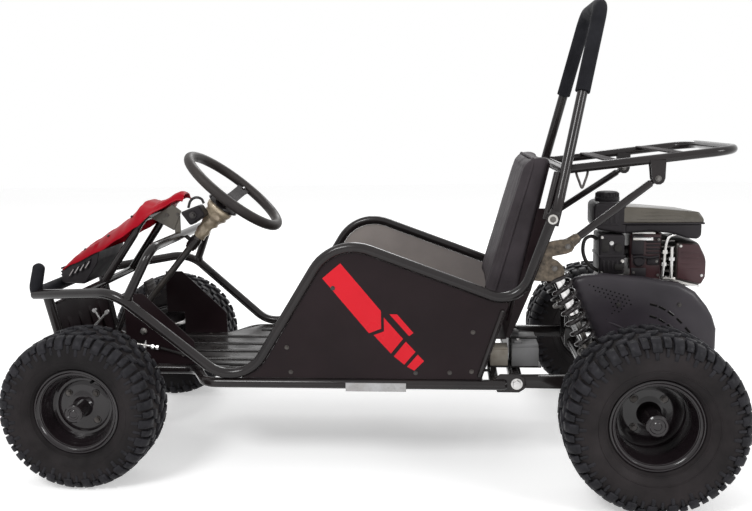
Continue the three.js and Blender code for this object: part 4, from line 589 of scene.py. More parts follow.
# foam-covered bumper with upturned, rounded ends
bumper = {
    "corners": [(-0.7505, -0.16, 0.444), (-0.7675, -0.16, 0.372), (-0.7675, 0.16, 0.372), (-0.7505, 0.16, 0.444)],
    "bend": 0.026,
    "radius": 0.0144,
}
sweep(*roundedEnds(bentLine(bumper["corners"], bumper["bend"], 6), bumper["radius"]), 24)
addPiece("front_bumper", "foamSleeve", sharp=80)

# hoop over the knees, with the column's upper bush
hoop = {
    "footX": -0.512,
    "knee": (-0.463, 0.238, 0.489),
    "bend": 0.046,
    "radius": 0.01,
    # distances down the column
    "bush": (0.149, 0.173),
}
columnLean = math.radians(50.3)
columnTop = Vector((-0.335, 0, 0.592))
columnWay = Vector((-math.cos(columnLean), 0, -math.sin(columnLean)))


def onColumn(distance):
    return columnTop + columnWay * distance


feet = [lineAt(sideLines[side], hoop["footX"])[0] for name, side in sides]
knees = onSide([hoop["knee"]], -1) + onSide([hoop["knee"]], 1)
sweep(bentLine([feet[0], *knees, feet[1]], hoop["bend"]), hoop["radius"], 22)
bushTop, bushFoot = hoop["bush"]
addRod(onColumn(bushTop), onColumn(bushFoot), 0.014, 28)
addRod(onColumn((bushTop + bushFoot) / 2), (hoop["knee"][0], 0, hoop["knee"][2]), 0.005, 14)
for name, side in sides:
    foot = lineAt(sideLines[side], hoop["footX"])[0]
    lean = (Vector(onSide([hoop["knee"]], side)[0]) - foot).normalized()
    addRod(foot + lean * 0.0095, foot + lean * 0.015, 0.0128, 22, 0.0102)
addPiece("steering_hoop", "glossBlack")

# the small plate, switch box and wire guide in front of the column, on the hoop
dash = {
    "plate": [(-0.525, 0.533), (-0.4725, 0.564), (-0.4515, 0.549), (-0.471, 0.503)],
    "plateY": (-0.046, -0.042),
    "box": [(-0.451, 0.547), (-0.406, 0.564), (-0.3905, 0.54), (-0.428, 0.515)],
    "boxY": (-0.06, -0.018),
    "post": [(-0.47, 0.494), (-0.456, 0.494), (-0.456, 0.548), (-0.47, 0.524)],
    "knob": (-0.42, 0.541),
    "screws": [(-0.461, 0.542), (-0.485, 0.54)],
    "hook": [
        (-0.436, -0.04, 0.556), (-0.43, -0.04, 0.572), (-0.418, -0.04, 0.58),
        (-0.404, -0.04, 0.577), (-0.398, -0.04, 0.566),
    ],
}
# the plate and its post take the tank's dark olive: partly their own colour, partly painted shade for the nose
# cover's shadow
addPlate(dash["plate"], *dash["plateY"])
addPlate(dash["post"], -0.044, -0.038)
addPiece("dash_plate", "tankPlastic", bevel=0.0012)
addPlate(dash["box"], *dash["boxY"])
addPiece("switch_box", "mattPlastic", bevel=0.005)
addAcross(*dash["knob"], -0.06, -0.064, 0.008, 24)
addAcross(*dash["knob"], -0.064, -0.069, 0.0055, 20, 0.0048)
for x, z in dash["screws"]:
    addAcross(x, z, -0.046, -0.0485, 0.0035, 6)
addPiece("switch_knob", "darkSteel")
sweep(softLine(dash["hook"], 6), 0.0032, 12)
addPiece("wire_guide", "glossBlack")
print("frame tubes and hoop ready")

# roll bar: two legs, the top, its cross tube and clamp sleeves, and the foam on it
rollBar = {
    "foot": (0.3906, 0.2297, 0.533),
    "clamp": (0.399, 0.2297, 0.572),
    "shoulder": (0.498, 0.106, 0.989),
    "bends": [0.12, 0.046],
    "radius": 0.011,
    "crossZ": 0.645,
    "padRadius": 0.0158,
    "padBottom": 0.806,
}


def rollLegAt(z, side):
    clamp, shoulder = onSide([rollBar["clamp"], rollBar["shoulder"]], side)
    return Vector(clamp).lerp(Vector(shoulder), (z - clamp[2]) / (shoulder[2] - clamp[2]))


leg = [rollBar["foot"], rollBar["clamp"], rollBar["shoulder"]]
rollLine = bentLine([*onSide(leg, -1), *reversed(leg)], [*rollBar["bends"], *reversed(rollBar["bends"])])
sweep(rollLine, rollBar["radius"], 24)
cross = rollLegAt(rollBar["crossZ"], 1)
addAcross(cross.x, cross.z, -cross.y, cross.y, 0.011, 24)
addPiece("roll_bar", "glossBlack")
for name, side in sides:
    high = rollLegAt(rollBar["crossZ"] - 0.004, side) - Vector((0.01, 0, 0))
    addRod((0.3745, side * rollBar["foot"][1], 0.545), high - Vector((0.006, 0, 0)), 0.0068, 18)
addPiece("roll_bar_braces", "glossBlack")
legs = [rollLegAt(rollBar["padBottom"], side) for name, side in sides]
shoulder = rollBar["shoulder"]
padLine = bentLine([legs[0], *onSide([shoulder], -1), shoulder, legs[1]], rollBar["bends"][1], 5)
sweep(padLine, rollBar["padRadius"], 28)
pad = addPiece("roll_bar_pad", "foamSleeve")

# nose: a red skin with a crease along each side, a step and a flap at its rear
nose = {
    "tip": (-0.745, 0.42),
    "length": 0.295,
    "height": 0.164,
    "halfWidths": (0.059, 0.132),
    "top": [
        (0, 0.0), (0.04, 0.09), (0.12, 0.2), (0.26, 0.345), (0.4, 0.5), (0.55, 0.67), (0.64, 0.82), (0.69, 0.92),
        (0.77, 0.885), (0.85, 0.955), (0.92, 1.035), (0.965, 1.062), (1.0, 1.035),
    ],
    "low": [
        (0, -0.02), (0.1, 0.06), (0.353, 0.26), (0.53, 0.445), (0.7, 0.63), (0.84, 0.84), (0.92, 0.935),
        (0.965, 0.965), (1.0, 0.95),
    ],
    # from the tip to the rear: the share of the half width that the flap keeps
    "flapShare": [(0, 1), (0.75, 1), (0.8, 0.86), (0.87, 0.44), (0.9, 0.34), (1.0, 0.3)],
    "sheet": 0.003,
    # shares of the half width where the crease runs and where its slope starts, and the crease's drops
    "shoulder": 0.64,
    "slope": 0.72,
    "drops": (0.03, 0.05),
    "screws": [(-0.69, 0.045), (-0.625, 0.06), (-0.56, 0.075)],
}


# the value of a line of (share, value) points, eased between them
def along(points, share):
    for (a, low), (b, high) in zip(points, points[1:]):
        if share <= b:
            part = (share - a) / (b - a)
            part = part * part * (3 - 2 * part) * 0.4 + part * 0.6
            return low + (high - low) * part
    return points[-1][1]


bmesh.ops.create_grid(bm, x_segments=44, y_segments=28, size=0.5)
for vert in bm.verts:
    share, across = vert.co.x + 0.5, vert.co.y * 2
    half = nose["halfWidths"][0] + (nose["halfWidths"][1] - nose["halfWidths"][0]) * share
    half *= along(nose["flapShare"], share)
    top = along(nose["top"], share)
    low = min(along(nose["low"], share), top - 0.02)
    shoulder, slope = nose["shoulder"], nose["slope"]
    crown, drop = nose["drops"][0], nose["drops"][1] * (share > 0.3)
    side = abs(across)
    if side <= shoulder:
        part = side / shoulder
        y = 0.8 * half * part
        z = top - crown * part ** 2 - drop * max(0, part - slope) / (1 - slope)
    else:
        part = (side - shoulder) / (1 - shoulder)
        y = half * (0.8 + 0.2 * math.sin(part * math.pi / 2))
        edge = top - crown - drop
        z = edge + (low - edge) * part
    # a raised strip along the middle, and a shallow channel on each side of it
    ridge = math.exp(-((across / 0.3) ** 6)) * 0.035 * min(1, share * 4) * (1 if share < 0.8 else 0.4)
    vert.co = (
        nose["tip"][0] + share * nose["length"],
        math.copysign(y, across) if across else 0,
        nose["tip"][1] + (z + ridge - 0.02) * nose["height"],
    )
bmesh.ops.recalc_face_normals(bm, faces=bm.faces)
if sum(face.normal.z for face in bm.faces) < 0:
    bmesh.ops.reverse_faces(bm, faces=bm.faces)
bmesh.ops.solidify(bm, geom=bm.faces, thickness=nose["sheet"])
noseCover = addPiece("nose_cover", "noseRed", sharp=28)
skin = BVHTree.FromObject(noseCover, bpy.context.evaluated_depsgraph_get())
for name, side in sides:
    for x, y in nose["screws"]:
        place, out = skin.ray_cast(Vector((x, side * y, 1.0)), -up)[:2]
        addBolt(place, out, 0.0036)
addPiece("nose_screws", "darkSteel")

# black lower half of the nose, with slanted slats on its front and sides
grille = {
    "outline": [
        (-0.7505, 0.381), (-0.742, 0.379), (-0.688, 0.379), (-0.65, 0.43), (-0.642, 0.46), (-0.727, 0.423),
        (-0.7505, 0.4085),
    ],
    "slats": 4,
    "slat": [(0, 0), (0.008, 0), (0.019, 0.0185), (0.011, 0.0185)],
    "slatEdge": [(0.003, 0.002), (0.0055, 0.002), (0.016, 0.0175), (0.0135, 0.0175)],
}


def noseHalf(x):
    return 0.062 + 0.071 * (x + 0.727) / 0.277


addPlate(grille["outline"], -0.1, 0.1)
bmesh.ops.subdivide_edges(bm, edges=bm.edges, cuts=2, use_grid_fill=True)
for vert in bm.verts:
    vert.co.y = math.copysign(noseHalf(vert.co.x) - 0.004, vert.co.y) * min(1, abs(vert.co.y) / 0.1)
addPiece("nose_grille", "mattPlastic", bevel=0.003)


# the slanted slats of each side, from one slat's corners; lift is how far they stand out
def addSlats(corners, lift, rise):
    for name, side in sides:
        for i in range(grille["slats"]):
            x = -0.729 + i * 0.015
            z = 0.3965 + i * 0.0068
            place = side * (noseHalf(x + 0.01) - 0.003)
            near, far = sorted((place, place + side * 0.004))
            outline = [(x + a, z + b + (i * rise if b > 0.01 else 0)) for a, b in corners]
            addPlate(outline, near + side * lift, far + side * lift)


addSlats(grille["slat"], 0, 0.002)
for i in range(grille["slats"]):
    z = 0.388 + i * 0.008
    addBox((-0.7535, -0.048, z), (-0.7495, 0.048, z + 0.0035), 0.0008)
addPiece("nose_slats", "mattPlastic", bevel=0.0008)
addSlats(grille["slatEdge"], 0.0008, 0)
addPiece("nose_slat_edges", "slatGrey")

# dark sheet between the front uprights, with a rolled upper edge and four pressed ribs
frontSheet = {"low": (-0.7045, 0.214), "high": (-0.7315, 0.35), "half": 0.148, "sheet": 0.0018, "rib": 0.009}
(lowX, lowZ), (highX, highZ) = frontSheet["low"], frontSheet["high"]
thick = frontSheet["sheet"]
section = [
    (lowX, lowZ), (lowX + thick, lowZ), (highX + thick, highZ - 0.006), (highX + 0.006, highZ - 0.001),
    (highX + 0.014, highZ), (highX + 0.014, highZ + thick), (highX + 0.004, highZ + thick), (highX, highZ - 0.004),
]
rib = [
    (lowX + 0.0016, lowZ + 0.02), (lowX + 0.004, lowZ + 0.024), (highX + 0.0052, highZ - 0.03),
    (highX + 0.0014, highZ - 0.022),
]
addPlate(section, -frontSheet["half"], frontSheet["half"])
for y in (-0.09, -0.03, 0.03, 0.09):
    addPlate(rib, y - frontSheet["rib"], y + frontSheet["rib"], 0.001, 1)
addPiece("front_sheet", "satinSheet", bevel=0.0006)
# a small forked link: its knot, and the ends of its two prongs and of its tail
frontLink = {
    "y": -0.098,
    "knot": (-0.643, 0.3),
    "ends": [(-0.655, 0.322, 0.0026), (-0.625, 0.318, 0.0026), (-0.684, 0.258, 0.003)],
}
y, (knotX, knotZ) = frontLink["y"], frontLink["knot"]
for x, z, radius in frontLink["ends"]:
    addRod((x, y, z), (knotX, y, knotZ), radius, 12)
    addAcross(x, z, y - 0.004, y + 0.004, 0.0048, 16)
addPiece("front_link", "stepZinc")

# loop and cross tube that carry the nose
noseFrame = {
    "footX": -0.63,
    "halfWidth": 0.091,
    "middle": (-0.552, 0.5),
    "knee": (-0.5331, 0.5375),
    "bends": [0.03, 0.034, 0.034, 0.03],
    "radius": 0.008,
    "tube": 0.0092,
}
foot = lineAt(sideLines[1], noseFrame["footX"])[0]
leg = [(x, noseFrame["halfWidth"], z) for x, z in ((foot.x, foot.z), noseFrame["middle"], noseFrame["knee"])]
sweep(bentLine([*onSide(leg, -1), *reversed(leg)], noseFrame["bends"]), noseFrame["tube"], 20)
addAcross(foot.x, foot.z, -foot.y, foot.y, noseFrame["radius"], 20)
addPiece("nose_frame", "glossBlack")
print("nose ready")

# floor pan with pressed ribs, and the plates at the sides of the footwell
floorZ = 0.2083
floorPan = {
    "outline": [
        (0.214, -0.236), (0.214, 0.236), (-0.328, 0.236), (-0.4, 0.1368), (-0.56, 0.1368),
        (-0.56, -0.1368), (-0.4, -0.1368), (-0.328, -0.236),
    ],
    "high": 0.2103,
    "ribs": [-0.18, -0.108, -0.036, 0.036, 0.108, 0.18],
    # the ribs' ends: the front one between the driver's feet and beside them, and the rear one
    "ribEnds": (-0.54, -0.318, -0.05),
    "ribWidth": 0.022,
    "ribHeight": 0.0034,
    "boltsX": [-0.52, -0.44, -0.3, -0.18, -0.08],
    "boltsY": (0.122, 0.216),
}
growFace([(x, y, floorZ) for x, y in floorPan["outline"]], (0, 0, floorPan["high"] - floorZ))
feetFront, sideFront, rear = floorPan["ribEnds"]
for y in floorPan["ribs"]:
    front = feetFront if abs(y) < 0.12 else sideFront
    addBox(
        (front, y - floorPan["ribWidth"] / 2, floorPan["high"] - 0.001),
        (rear, y + floorPan["ribWidth"] / 2, floorPan["high"] + floorPan["ribHeight"]), 0.003, 3,
    )
addPiece("floor_pan", "floorSheet")
narrow, wide = floorPan["boltsY"]
for x in floorPan["boltsX"]:
    for name, side in sides:
        addBolt((x, side * (narrow if x < -0.35 else wide), floorPan["high"]), up, 0.0045)
addPiece("floor_bolts", "darkSteel")
footwell = {
    "outline": [
        (-0.516, floorZ), (-0.404, floorZ), (-0.404, 0.262), (-0.518, 0.372), (-0.562, 0.372), (-0.562, 0.264),
        (-0.516, 0.264),
    ],
    "bolts": [(-0.548, 0.336, 0.0045), (-0.52, 0.285, 0.007), (-0.43, 0.232, 0.0045)],
}
for name, side in sides:
    addPlate(footwell["outline"], *spanY(side, 0.149, 0.151))
    addPiece("footwell_" + name, "satinSheet", bevel=0.0006)
for name, side in sides:
    for x, z, size in footwell["bolts"]:
        addBolt((x, side * 0.151, z), (0, side, 0), size)
addPiece("footwell_bolts", "brightZinc")

# side panels: their edge runs just inside the side tube
sidePanel = {
    "offset": 0.0113,
    "rearTop": (0.3, 0.372),
    "rearBottom": (0.243, floorZ),
    "sheet": (0.251, 0.253),
    "lining": (0.2503, 0.2509),
    "bolts": [
        (-0.069, 0.405), (-0.171, 0.276), (-0.164, 0.222), (0.104, 0.222), (0.176, 0.223), (0.222, 0.226),
        (0.225, 0.311),
    ],
}
edge = []
for place, way in sideLines[1]:
    x = place.x + way.z * sidePanel["offset"]
    z = place.z - way.x * sidePanel["offset"]
    if -0.275 < place.x < 0.32 and way.x > 0 and z > floorZ + 0.002 and x < sidePanel["rearTop"][0]:
        edge.append((x, z))
slope = (edge[1][0] - edge[0][0]) / (edge[1][1] - edge[0][1])
start = (edge[0][0] - slope * (edge[0][1] - floorZ), floorZ)
panelOutline = [start, *edge, sidePanel["rearTop"], sidePanel["rearBottom"]]
(topX, topZ), (footX, footZ) = sidePanel["rearTop"], sidePanel["rearBottom"]
# a generic slanted bar with a notch, and three blocks that shorten towards its foot
decal = {
    "bars": [
        [(-0.091, 0.426), (-0.052, 0.458), (0.032, 0.356), (0.032, 0.318), (0.006, 0.308)],
        [(0.016, 0.304), (0.038, 0.312), (0.038, 0.342), (0.078, 0.296), (0.052, 0.264)],
        [(0.058, 0.258), (0.084, 0.29), (0.104, 0.268), (0.08, 0.24)],
        [(0.086, 0.2355), (0.109, 0.262), (0.122, 0.248), (0.101, 0.227)],
        [(0.05, 0.349), (0.066, 0.349), (0.1, 0.309), (0.091, 0.302)],
    ],
    "depth": (0.2531, 0.2535),
}
for name, side in sides:
    addPlate(panelOutline, *spanY(side, *sidePanel["sheet"]))
    addPiece("side_panel_" + name, "satinSheet", bevel=0.0006)
    # a thin pale copy just inside each panel: painted sheen on the panel's inner face
    addPlate(panelOutline, *spanY(side, *sidePanel["lining"]))
    addPiece("side_lining_" + name, "paintedSheenInside")
    ends = [(topX - 0.012, side * 0.2545, topZ - 0.012), (footX - 0.006, side * 0.2545, footZ + 0.004)]
    sweep(*roundedEnds(softLine(ends, 4), 0.0052), 14)
    addPiece("side_bead_" + name, "glossBlack")
    for bar in decal["bars"]:
        addPlate(bar, *spanY(side, *decal["depth"]))
    addPiece("side_stripe_" + name, "stripeRed")
    for x, z in sidePanel["bolts"]:
        addBolt((x, side * sidePanel["sheet"][1], z), (0, side, 0), 0.0042)
    addPiece("panel_bolts_" + name, "darkSteel")
print("floor and panels ready")

# cargo rack: a bent rail, two flat bars, a clevis under each rail, and a wire guide
rack = {
    "front": (0.4163, 0.186, 0.645),
    "rearX": 0.7725,
    "rise": 0.038,
    "bend": 0.058,
    "radius": 0.0095,
    "bars": [0.515, 0.65],
    "barWidth": 0.03,
    "barSheet": 0.004,
    "clevisX": 0.607,
    "clevisDrop": 0.04,
    "earsY": [(0.1737, 0.1777), (0.1943, 0.1983)],
    "ear": [
        (-0.0125, -0.001), (-0.0095, -0.0085), (-0.003, -0.0125), (0.005, -0.0125), (0.0115, -0.008), (0.0145, 0),
        (0.0155, 0.038), (-0.0175, 0.038), (-0.015, 0.022),
    ],
    "bush": [(0, -0.0105), (0.0122, -0.0105), (0.0132, -0.009), (0.0132, 0.009), (0.0122, 0.0105), (0, 0.0105)],
    "hook": [
        (0.441, -0.176, 0.646), (0.443, -0.179, 0.634), (0.448, -0.182, 0.62), (0.4525, -0.183, 0.608),
        (0.4555, -0.183, 0.608), (0.46, -0.182, 0.62), (0.465, -0.179, 0.634), (0.467, -0.176, 0.647),
    ],
}
frontX, half, frontZ = rack["front"]


def rackZ(x):
    return frontZ + rack["rise"] * (x - frontX) / (rack["rearX"] - frontX)


rearX = rack["rearX"]
rackLine = bentLine(
    [(frontX, -half, frontZ), (rearX, -half, rackZ(rearX)), (rearX, half, rackZ(rearX)), (frontX, half, frontZ)],
    rack["bend"], 6,
)
sweep(rackLine, rack["radius"], 20)
addPiece("cargo_rack", "glossBlack")
for x in rack["bars"]:
    top = rackZ(x) + rack["radius"]
    width = rack["barWidth"] / 2
    addBox((x - width, -half, top - rack["barSheet"]), (x + width, half, top), 0.0015)
addPiece("rack_bars", "rackSatin")
clevisX, clevisZ = rack["clevisX"], rackZ(rack["clevisX"]) - rack["clevisDrop"]
ear = [(clevisX + a, clevisZ + b) for a, b in rack["ear"]]
for name, side in sides:
    for near, far in rack["earsY"]:
        addPlate(ear, *spanY(side, near, far))
addPiece("rack_clevises", "glossBlack", bevel=0.001)
for name, side in sides:
    addAcross(clevisX, clevisZ, side * 0.1725, side * 0.199, 0.004, 16)
    addBolt((clevisX, side * 0.1985, clevisZ), (0, side, 0), 0.0055)
    addBolt((clevisX, side * 0.1735, clevisZ), (0, -side, 0), 0.005)
addPiece("rack_bolts", "dullSteel")
sweep(softLine(rack["hook"], 6), 0.0026, 12)
addPiece("rack_hook", "darkSteel")
strutX, _, strutZ = sideTube["pins"][1]
for name, side in sides:
    topEnd = Vector((clevisX, side * half, clevisZ))
    lowEnd = Vector((strutX, side * 0.236, strutZ))
    way = (topEnd - lowEnd).normalized()
    addRod(lowEnd + way * 0.022, topEnd - way * 0.018, 0.008, 22)
    for place, near in ((topEnd, -1), (lowEnd, 1)):
        addRod(place - Vector((0, 0.0045, 0)), place + Vector((0, 0.0045, 0)), 0.0092, 24)
        addRod(place + way * near * 0.004, place + way * near * 0.026, 0.0044, 12, 0.0078)
    addPiece("rack_strut_" + name, "glossBlack")
    addTurned(rack["bush"], 32, lowEnd, (0, 1, 0))
    addRod(lowEnd + way * 0.008, lowEnd + way * 0.024, 0.0122, 24, 0.0105)
    addRod(lowEnd + way * 0.024, lowEnd + way * 0.03, 0.0112, 24, 0.0088)
    addPiece("strut_bush_" + name, "bronzePaint")
    addBolt(lowEnd + Vector((0, side * 0.0107, 0)), (0, side, 0), 0.0052)
    addPiece("strut_bolt_" + name, "dullSteel")
print("rack ready")

# seat: two padded blocks on a bent steel shell
seat = {
    "halfWidth": 0.182,
    "cushion": {"low": (-0.02, 0.279), "high": (0.237, 0.345)},
    "back": {"bottom": (0.241, 0.319, 0.35), "top": (0.343, 0.395, 0.679)},
    "voxel": 0.0058,
    "startInset": 0.006,
    "cap": 0.008,
    "frames": 20,
    "pressure": 4.0,
    "piping": 0.0028,
    "crown": 0.004,
    # width and depth of the seams pressed into the cushion and into the back
    "cushionSeam": (0.0045, 0.005),
    "backSeam": (0.0035, 0.0022),
}


# what the modifiers of an object make of it, without them
def evaluatedMesh(thing):
    mesh = bpy.data.meshes.new_from_object(thing.evaluated_get(bpy.context.evaluated_depsgraph_get()))
    thing.modifiers.clear()
    return mesh


def swellPad(name):
    pad = takeMesh(name)
    remesh = pad.modifiers.new("remesh", "REMESH")
    remesh.mode = "VOXEL"
    remesh.voxel_size = seat["voxel"]
    mesh = evaluatedMesh(pad)
    pad.data = mesh
    start = [vert.co.copy() for vert in mesh.vertices]
    cloth = pad.modifiers.new("cloth", "CLOTH")
    cloth.settings.use_pressure = True
    cloth.settings.uniform_pressure_force = seat["pressure"]
    cloth.settings.effector_weights.gravity = 0
    cloth.point_cache.frame_start = 1
    cloth.point_cache.frame_end = seat["frames"]
    scene = bpy.context.scene
    for frameNumber in range(1, seat["frames"] + 1):
        scene.frame_set(frameNumber)
    swollen = evaluatedMesh(pad)
    scene.frame_set(1)
    for vert, before, after in zip(mesh.vertices, start, swollen.vertices):
        way = after.co - before
        if way.length > seat["cap"]:
            way *= seat["cap"] / way.length
        vert.co = before + way
    return pad


def finishPad(pad, node, form):
    mesh = pad.data
    for vert in mesh.vertices:
        vert.co = form(vert.co)
    mesh.materials.append(finishes["vinyl"])
    mesh.polygons.foreach_set("use_smooth", [True] * len(mesh.polygons))
    subdivision = pad.modifiers.new("subdivision", "SUBSURF")
    subdivision.levels = 1
    subdivision.render_levels = 1
    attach(pad, "frame")
    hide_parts(node)


def addPiping(name, pad, loop):
    tree = BVHTree.FromObject(pad, bpy.context.evaluated_depsgraph_get())
    places = []
    for point in loop:
        place, normal, face, distance = tree.find_nearest(Vector(point))
        places.append(place + normal * seat["piping"] * 0.2)
    for k in range(6):
        places = [(places[i - 1] + places[i] * 2 + places[(i + 1) % len(places)]) / 4 for i in range(len(places))]
    sweep(softLine([*places, places[0]], 3), seat["piping"], 10)
    addPiece(name, "vinyl")


(lowX, lowZ), (highX, highZ) = seat["cushion"]["low"], seat["cushion"]["high"]
inset = seat["startInset"]
half = seat["halfWidth"]
addBox((lowX + inset, -half + inset, lowZ + 0.001), (highX - inset, half - inset, highZ - inset - 0.004), 0.014, 3)
cushionPad = swellPad("seat_cushion")


# how deep a seam is at a distance from its line, from 0 to 1
def seam(distance, width):
    return math.exp(-((distance / width) ** 2))


def cushionForm(place):
    u = (2 * place.x - lowX - highX) / (highX - lowX)
    v = place.y / half
    rise = max(0.0, (place.z - lowZ - 0.034) / 0.03)
    crown = seat["crown"] * (1 - u * u) * (1 - v * v)
    width, depth = seat["cushionSeam"]
    groove = sum(seam(place.y - y, width) for y in (-0.09, 0, 0.09))
    groove += seam((abs(u) - 0.8) * (highX - lowX) / 2, width) * (abs(v) < 0.9)
    z = max(place.z, lowZ)
    z += rise * (crown - depth * min(1, groove) * (abs(v) < 0.94) * (abs(u) < 0.84))
    return Vector((place.x, place.y, z))


finishPad(cushionPad, "seat_cushion", cushionForm)


def roundLoop(halfA, halfB, corner, count=10):
    points = []
    for k, (a, b) in enumerate(((1, 1), (-1, 1), (-1, -1), (1, -1))):
        for i in range(count):
            x, y, z = onCircle(corner, 90 * (k + i / (count - 1)), 0)
            points.append((a * (halfA - corner) + x, b * (halfB - corner) + y))
    return points


middleX = (lowX + highX) / 2
loop = roundLoop((highX - lowX) / 2 - 0.003, half - 0.003, 0.02)
addPiping("cushion_piping", cushionPad, [(middleX + a, b, highZ - 0.016) for a, b in loop])

frontLow, rearLow, bottomZ = seat["back"]["bottom"]
frontHigh, rearHigh, topZ = seat["back"]["top"]


def backSection(share):
    return frontLow + share * (frontHigh - frontLow), rearLow + share * (rearHigh - rearLow)


def backPlace(across, share, out):
    front, rear = backSection(share)
    return Vector((rear + (front - rear) * out, across, bottomZ + share * (topZ - bottomZ)))


corners = [
    bm.verts.new(backPlace(y, share, out))
    for y in (-half + inset, half - inset) for share, out in ((0.02, 0.0), (0.98, 0.0), (0.98, 0.86), (0.02, 0.86))
]
for a, b, c, d in ((0, 1, 2, 3), (7, 6, 5, 4), (0, 4, 5, 1), (1, 5, 6, 2), (2, 6, 7, 3), (3, 7, 4, 0)):
    bm.faces.new([corners[k] for k in (a, b, c, d)])
roundEdges(list(bm.verts), 0.014, 3)
backPad = swellPad("seat_back")


def backForm(place):
    share = (place.z - bottomZ) / (topZ - bottomZ)
    front, rear = backSection(share)
    out = (place.x - rear) / (front - rear)
    v = place.y / half
    width, depth = seat["backSeam"]
    groove = seam((abs(v) - 0.78) * half, width) + seam((share - 0.9) * 0.34, width)
    grip = max(0.0, out - 0.5) * 2 * (abs(v) < 0.8) * (0.05 < share < 0.92)
    x = min(place.x, rear + 0.0005) + depth * min(1, groove) * grip
    return Vector((x, place.y, place.z))


finishPad(backPad, "seat_back", backForm)
points = [backPlace(a, 0.5 + b / 0.344, 0.72) for a, b in roundLoop(half - 0.006, 0.16, 0.03, 24)]
addPiping("back_piping", backPad, points)

# bent sheet under and behind the pads: a front leg, a rear leg, and pressed ribs on its back
shell = {
    "outline": [
        (-0.0225, 0.2106), (-0.02, 0.2106), (-0.02, 0.2762), (0.2992, 0.2762), (0.3888, 0.656),
        (0.3863, 0.658), (0.2978, 0.2787), (-0.0225, 0.2787),
    ],
    "half": 0.172,
    "rearLeg": ((0.2348, floorZ), (0.2372, 0.2775)),
    "wing": [
        (0.299, 0.279), (0.366, 0.562), (0.385, 0.562), (0.3862, 0.535), (0.37, 0.46), (0.352, 0.386),
        (0.324, 0.318), (0.306, 0.279),
    ],
}
addPlate(shell["outline"], -shell["half"], shell["half"])
(lowX, lowZ), (highX, highZ) = shell["rearLeg"]
addBox((lowX, -shell["half"], lowZ), (highX, shell["half"], highZ), 0.0004)
(seatX, seatZ), (headX, headZ) = shell["outline"][3:5]
backWay = Vector((headX - seatX, 0, headZ - seatZ)).normalized()
for name, side in sides:
    addPlate(shell["wing"], *spanY(side, 0.1695, 0.1718))
for k in range(-2, 3):
    foot = Vector((0.305, 0.06 * k, 0.305))
    sweep(*roundedEnds([(foot, backWay), (foot + backWay * 0.33, backWay)], 0.004), 10)
addPiece("seat_shell", "satinSheet", bevel=0.0006)
print("seat ready")

# battery in its tray, its lid, terminals and strap, and the regulator beside it
battery = {"low": (0.31, -0.19, 0.2203), "high": (0.368, -0.072, 0.2753), "terminals": [-0.176, -0.086]}
(lowX, lowY, lowZ), (highX, highY, highZ) = battery["low"], battery["high"]
addBox(battery["low"], (highX, highY, 0.262), 0.002)
addBox((lowX + 0.0008, lowY + 0.0008, 0.2612), (highX - 0.0008, highY - 0.0008, highZ - 0.006), 0.0015)
for y in battery["terminals"]:
    addBox((0.316, y - 0.007, 0.268), (0.332, y + 0.007, highZ), 0.001)
addPiece("battery", "boxGrey")
for y in battery["terminals"]:
    addRod((0.324, y, 0.2745), (0.324, y, 0.2785), 0.0035, 12)
addPiece("battery_terminals", "brightZinc")
addBox((lowX - 0.0012, -0.14, lowZ), (highX + 0.0012, -0.122, 0.2715), 0.0008)
addPiece("battery_strap", "cableSleeve")
# the regulator's pale beige is painted light, standing in for lit ground seen in the gap behind the side panel
addBox((0.264, -0.188, lowZ), (0.302, -0.138, 0.256), 0.002)
for k in range(6):
    y = -0.183 + k * 0.008
    addBox((0.2635, y, 0.2545), (0.3025, y + 0.003, 0.26), 0.0005)
addPiece("regulator", "paintedLitPatch")

# brake cable in its sleeve, and its zinc rod with three nuts
cable = {
    "radius": 0.003,
    "rod": [(-0.484, 0.249), (-0.604, 0.268)],
    "points": [
        (-0.48, -0.158, 0.248), (-0.43, -0.158, 0.234), (-0.398, -0.16, 0.223), (-0.366, -0.166, 0.217),
        (-0.33, -0.172, 0.215), (-0.25, -0.176, 0.2145), (-0.15, -0.178, 0.2142), (-0.06, -0.196, 0.2139),
        (0.02, -0.204, 0.2139), (0.1, -0.204, 0.2139), (0.2, -0.204, 0.2139), (0.262, -0.204, 0.215),
    ],
}
sweep(softLine(cable["points"], 6), cable["radius"], 14)
addPiece("brake_cable", "cableSleeve")
rodEnd, rodStart = (Vector((x, -0.158, z)) for x, z in cable["rod"])
addRod(rodStart, rodEnd, 0.0028, 14)
rodWay = (rodEnd - rodStart).normalized()
for share in (0.06, 0.86, 0.95):
    place = rodStart.lerp(rodEnd, share)
    addRod(place, place + rodWay * 0.006, 0.0056, 6)
addPiece("brake_rod", "brightZinc")

# steering wheel on its column. Its own Z is the column's axis.
columnFrame = Matrix.Translation(columnTop) @ Matrix.Rotation(math.pi / 2 - columnLean, 4, "Y")
wheel = {
    "radius": 0.128,
    "grip": 0.0119,
    "hub": [
        (0, -0.033), (0.02, -0.0325), (0.03, -0.0345), (0.036, -0.0385), (0.04, -0.044), (0.039, -0.046),
        (0, -0.0462),
    ],
    # half a spoke's plan: half widths and distances from the hub's middle
    "spoke": [(0.017, 0.02), (0.0145, 0.06), (0.0145, 0.098), (0.019, 0.126)],
    "spokeSheet": 0.005,
    "arm": [(-0.012, -0.3945), (0.053, -0.3945), (0.053, -0.3895), (-0.012, -0.3895)],
    "collars": [-0.405, -0.176, -0.146],
    # the wrapped sleeve under the wheel, wide at its top and creased below
    "wrap": [
        (0.012, -0.0475), (0.03, -0.048), (0.0335, -0.053), (0.032, -0.062), (0.027, -0.068), (0.029, -0.074),
        (0.0235, -0.083), (0.02, -0.09), (0.0215, -0.096), (0.0165, -0.106), (0.015, -0.115), (0.0165, -0.122),
        (0.0142, -0.132), (0.014, -0.142), (0.0105, -0.144),
    ],
    "crease": 0.0035,
}
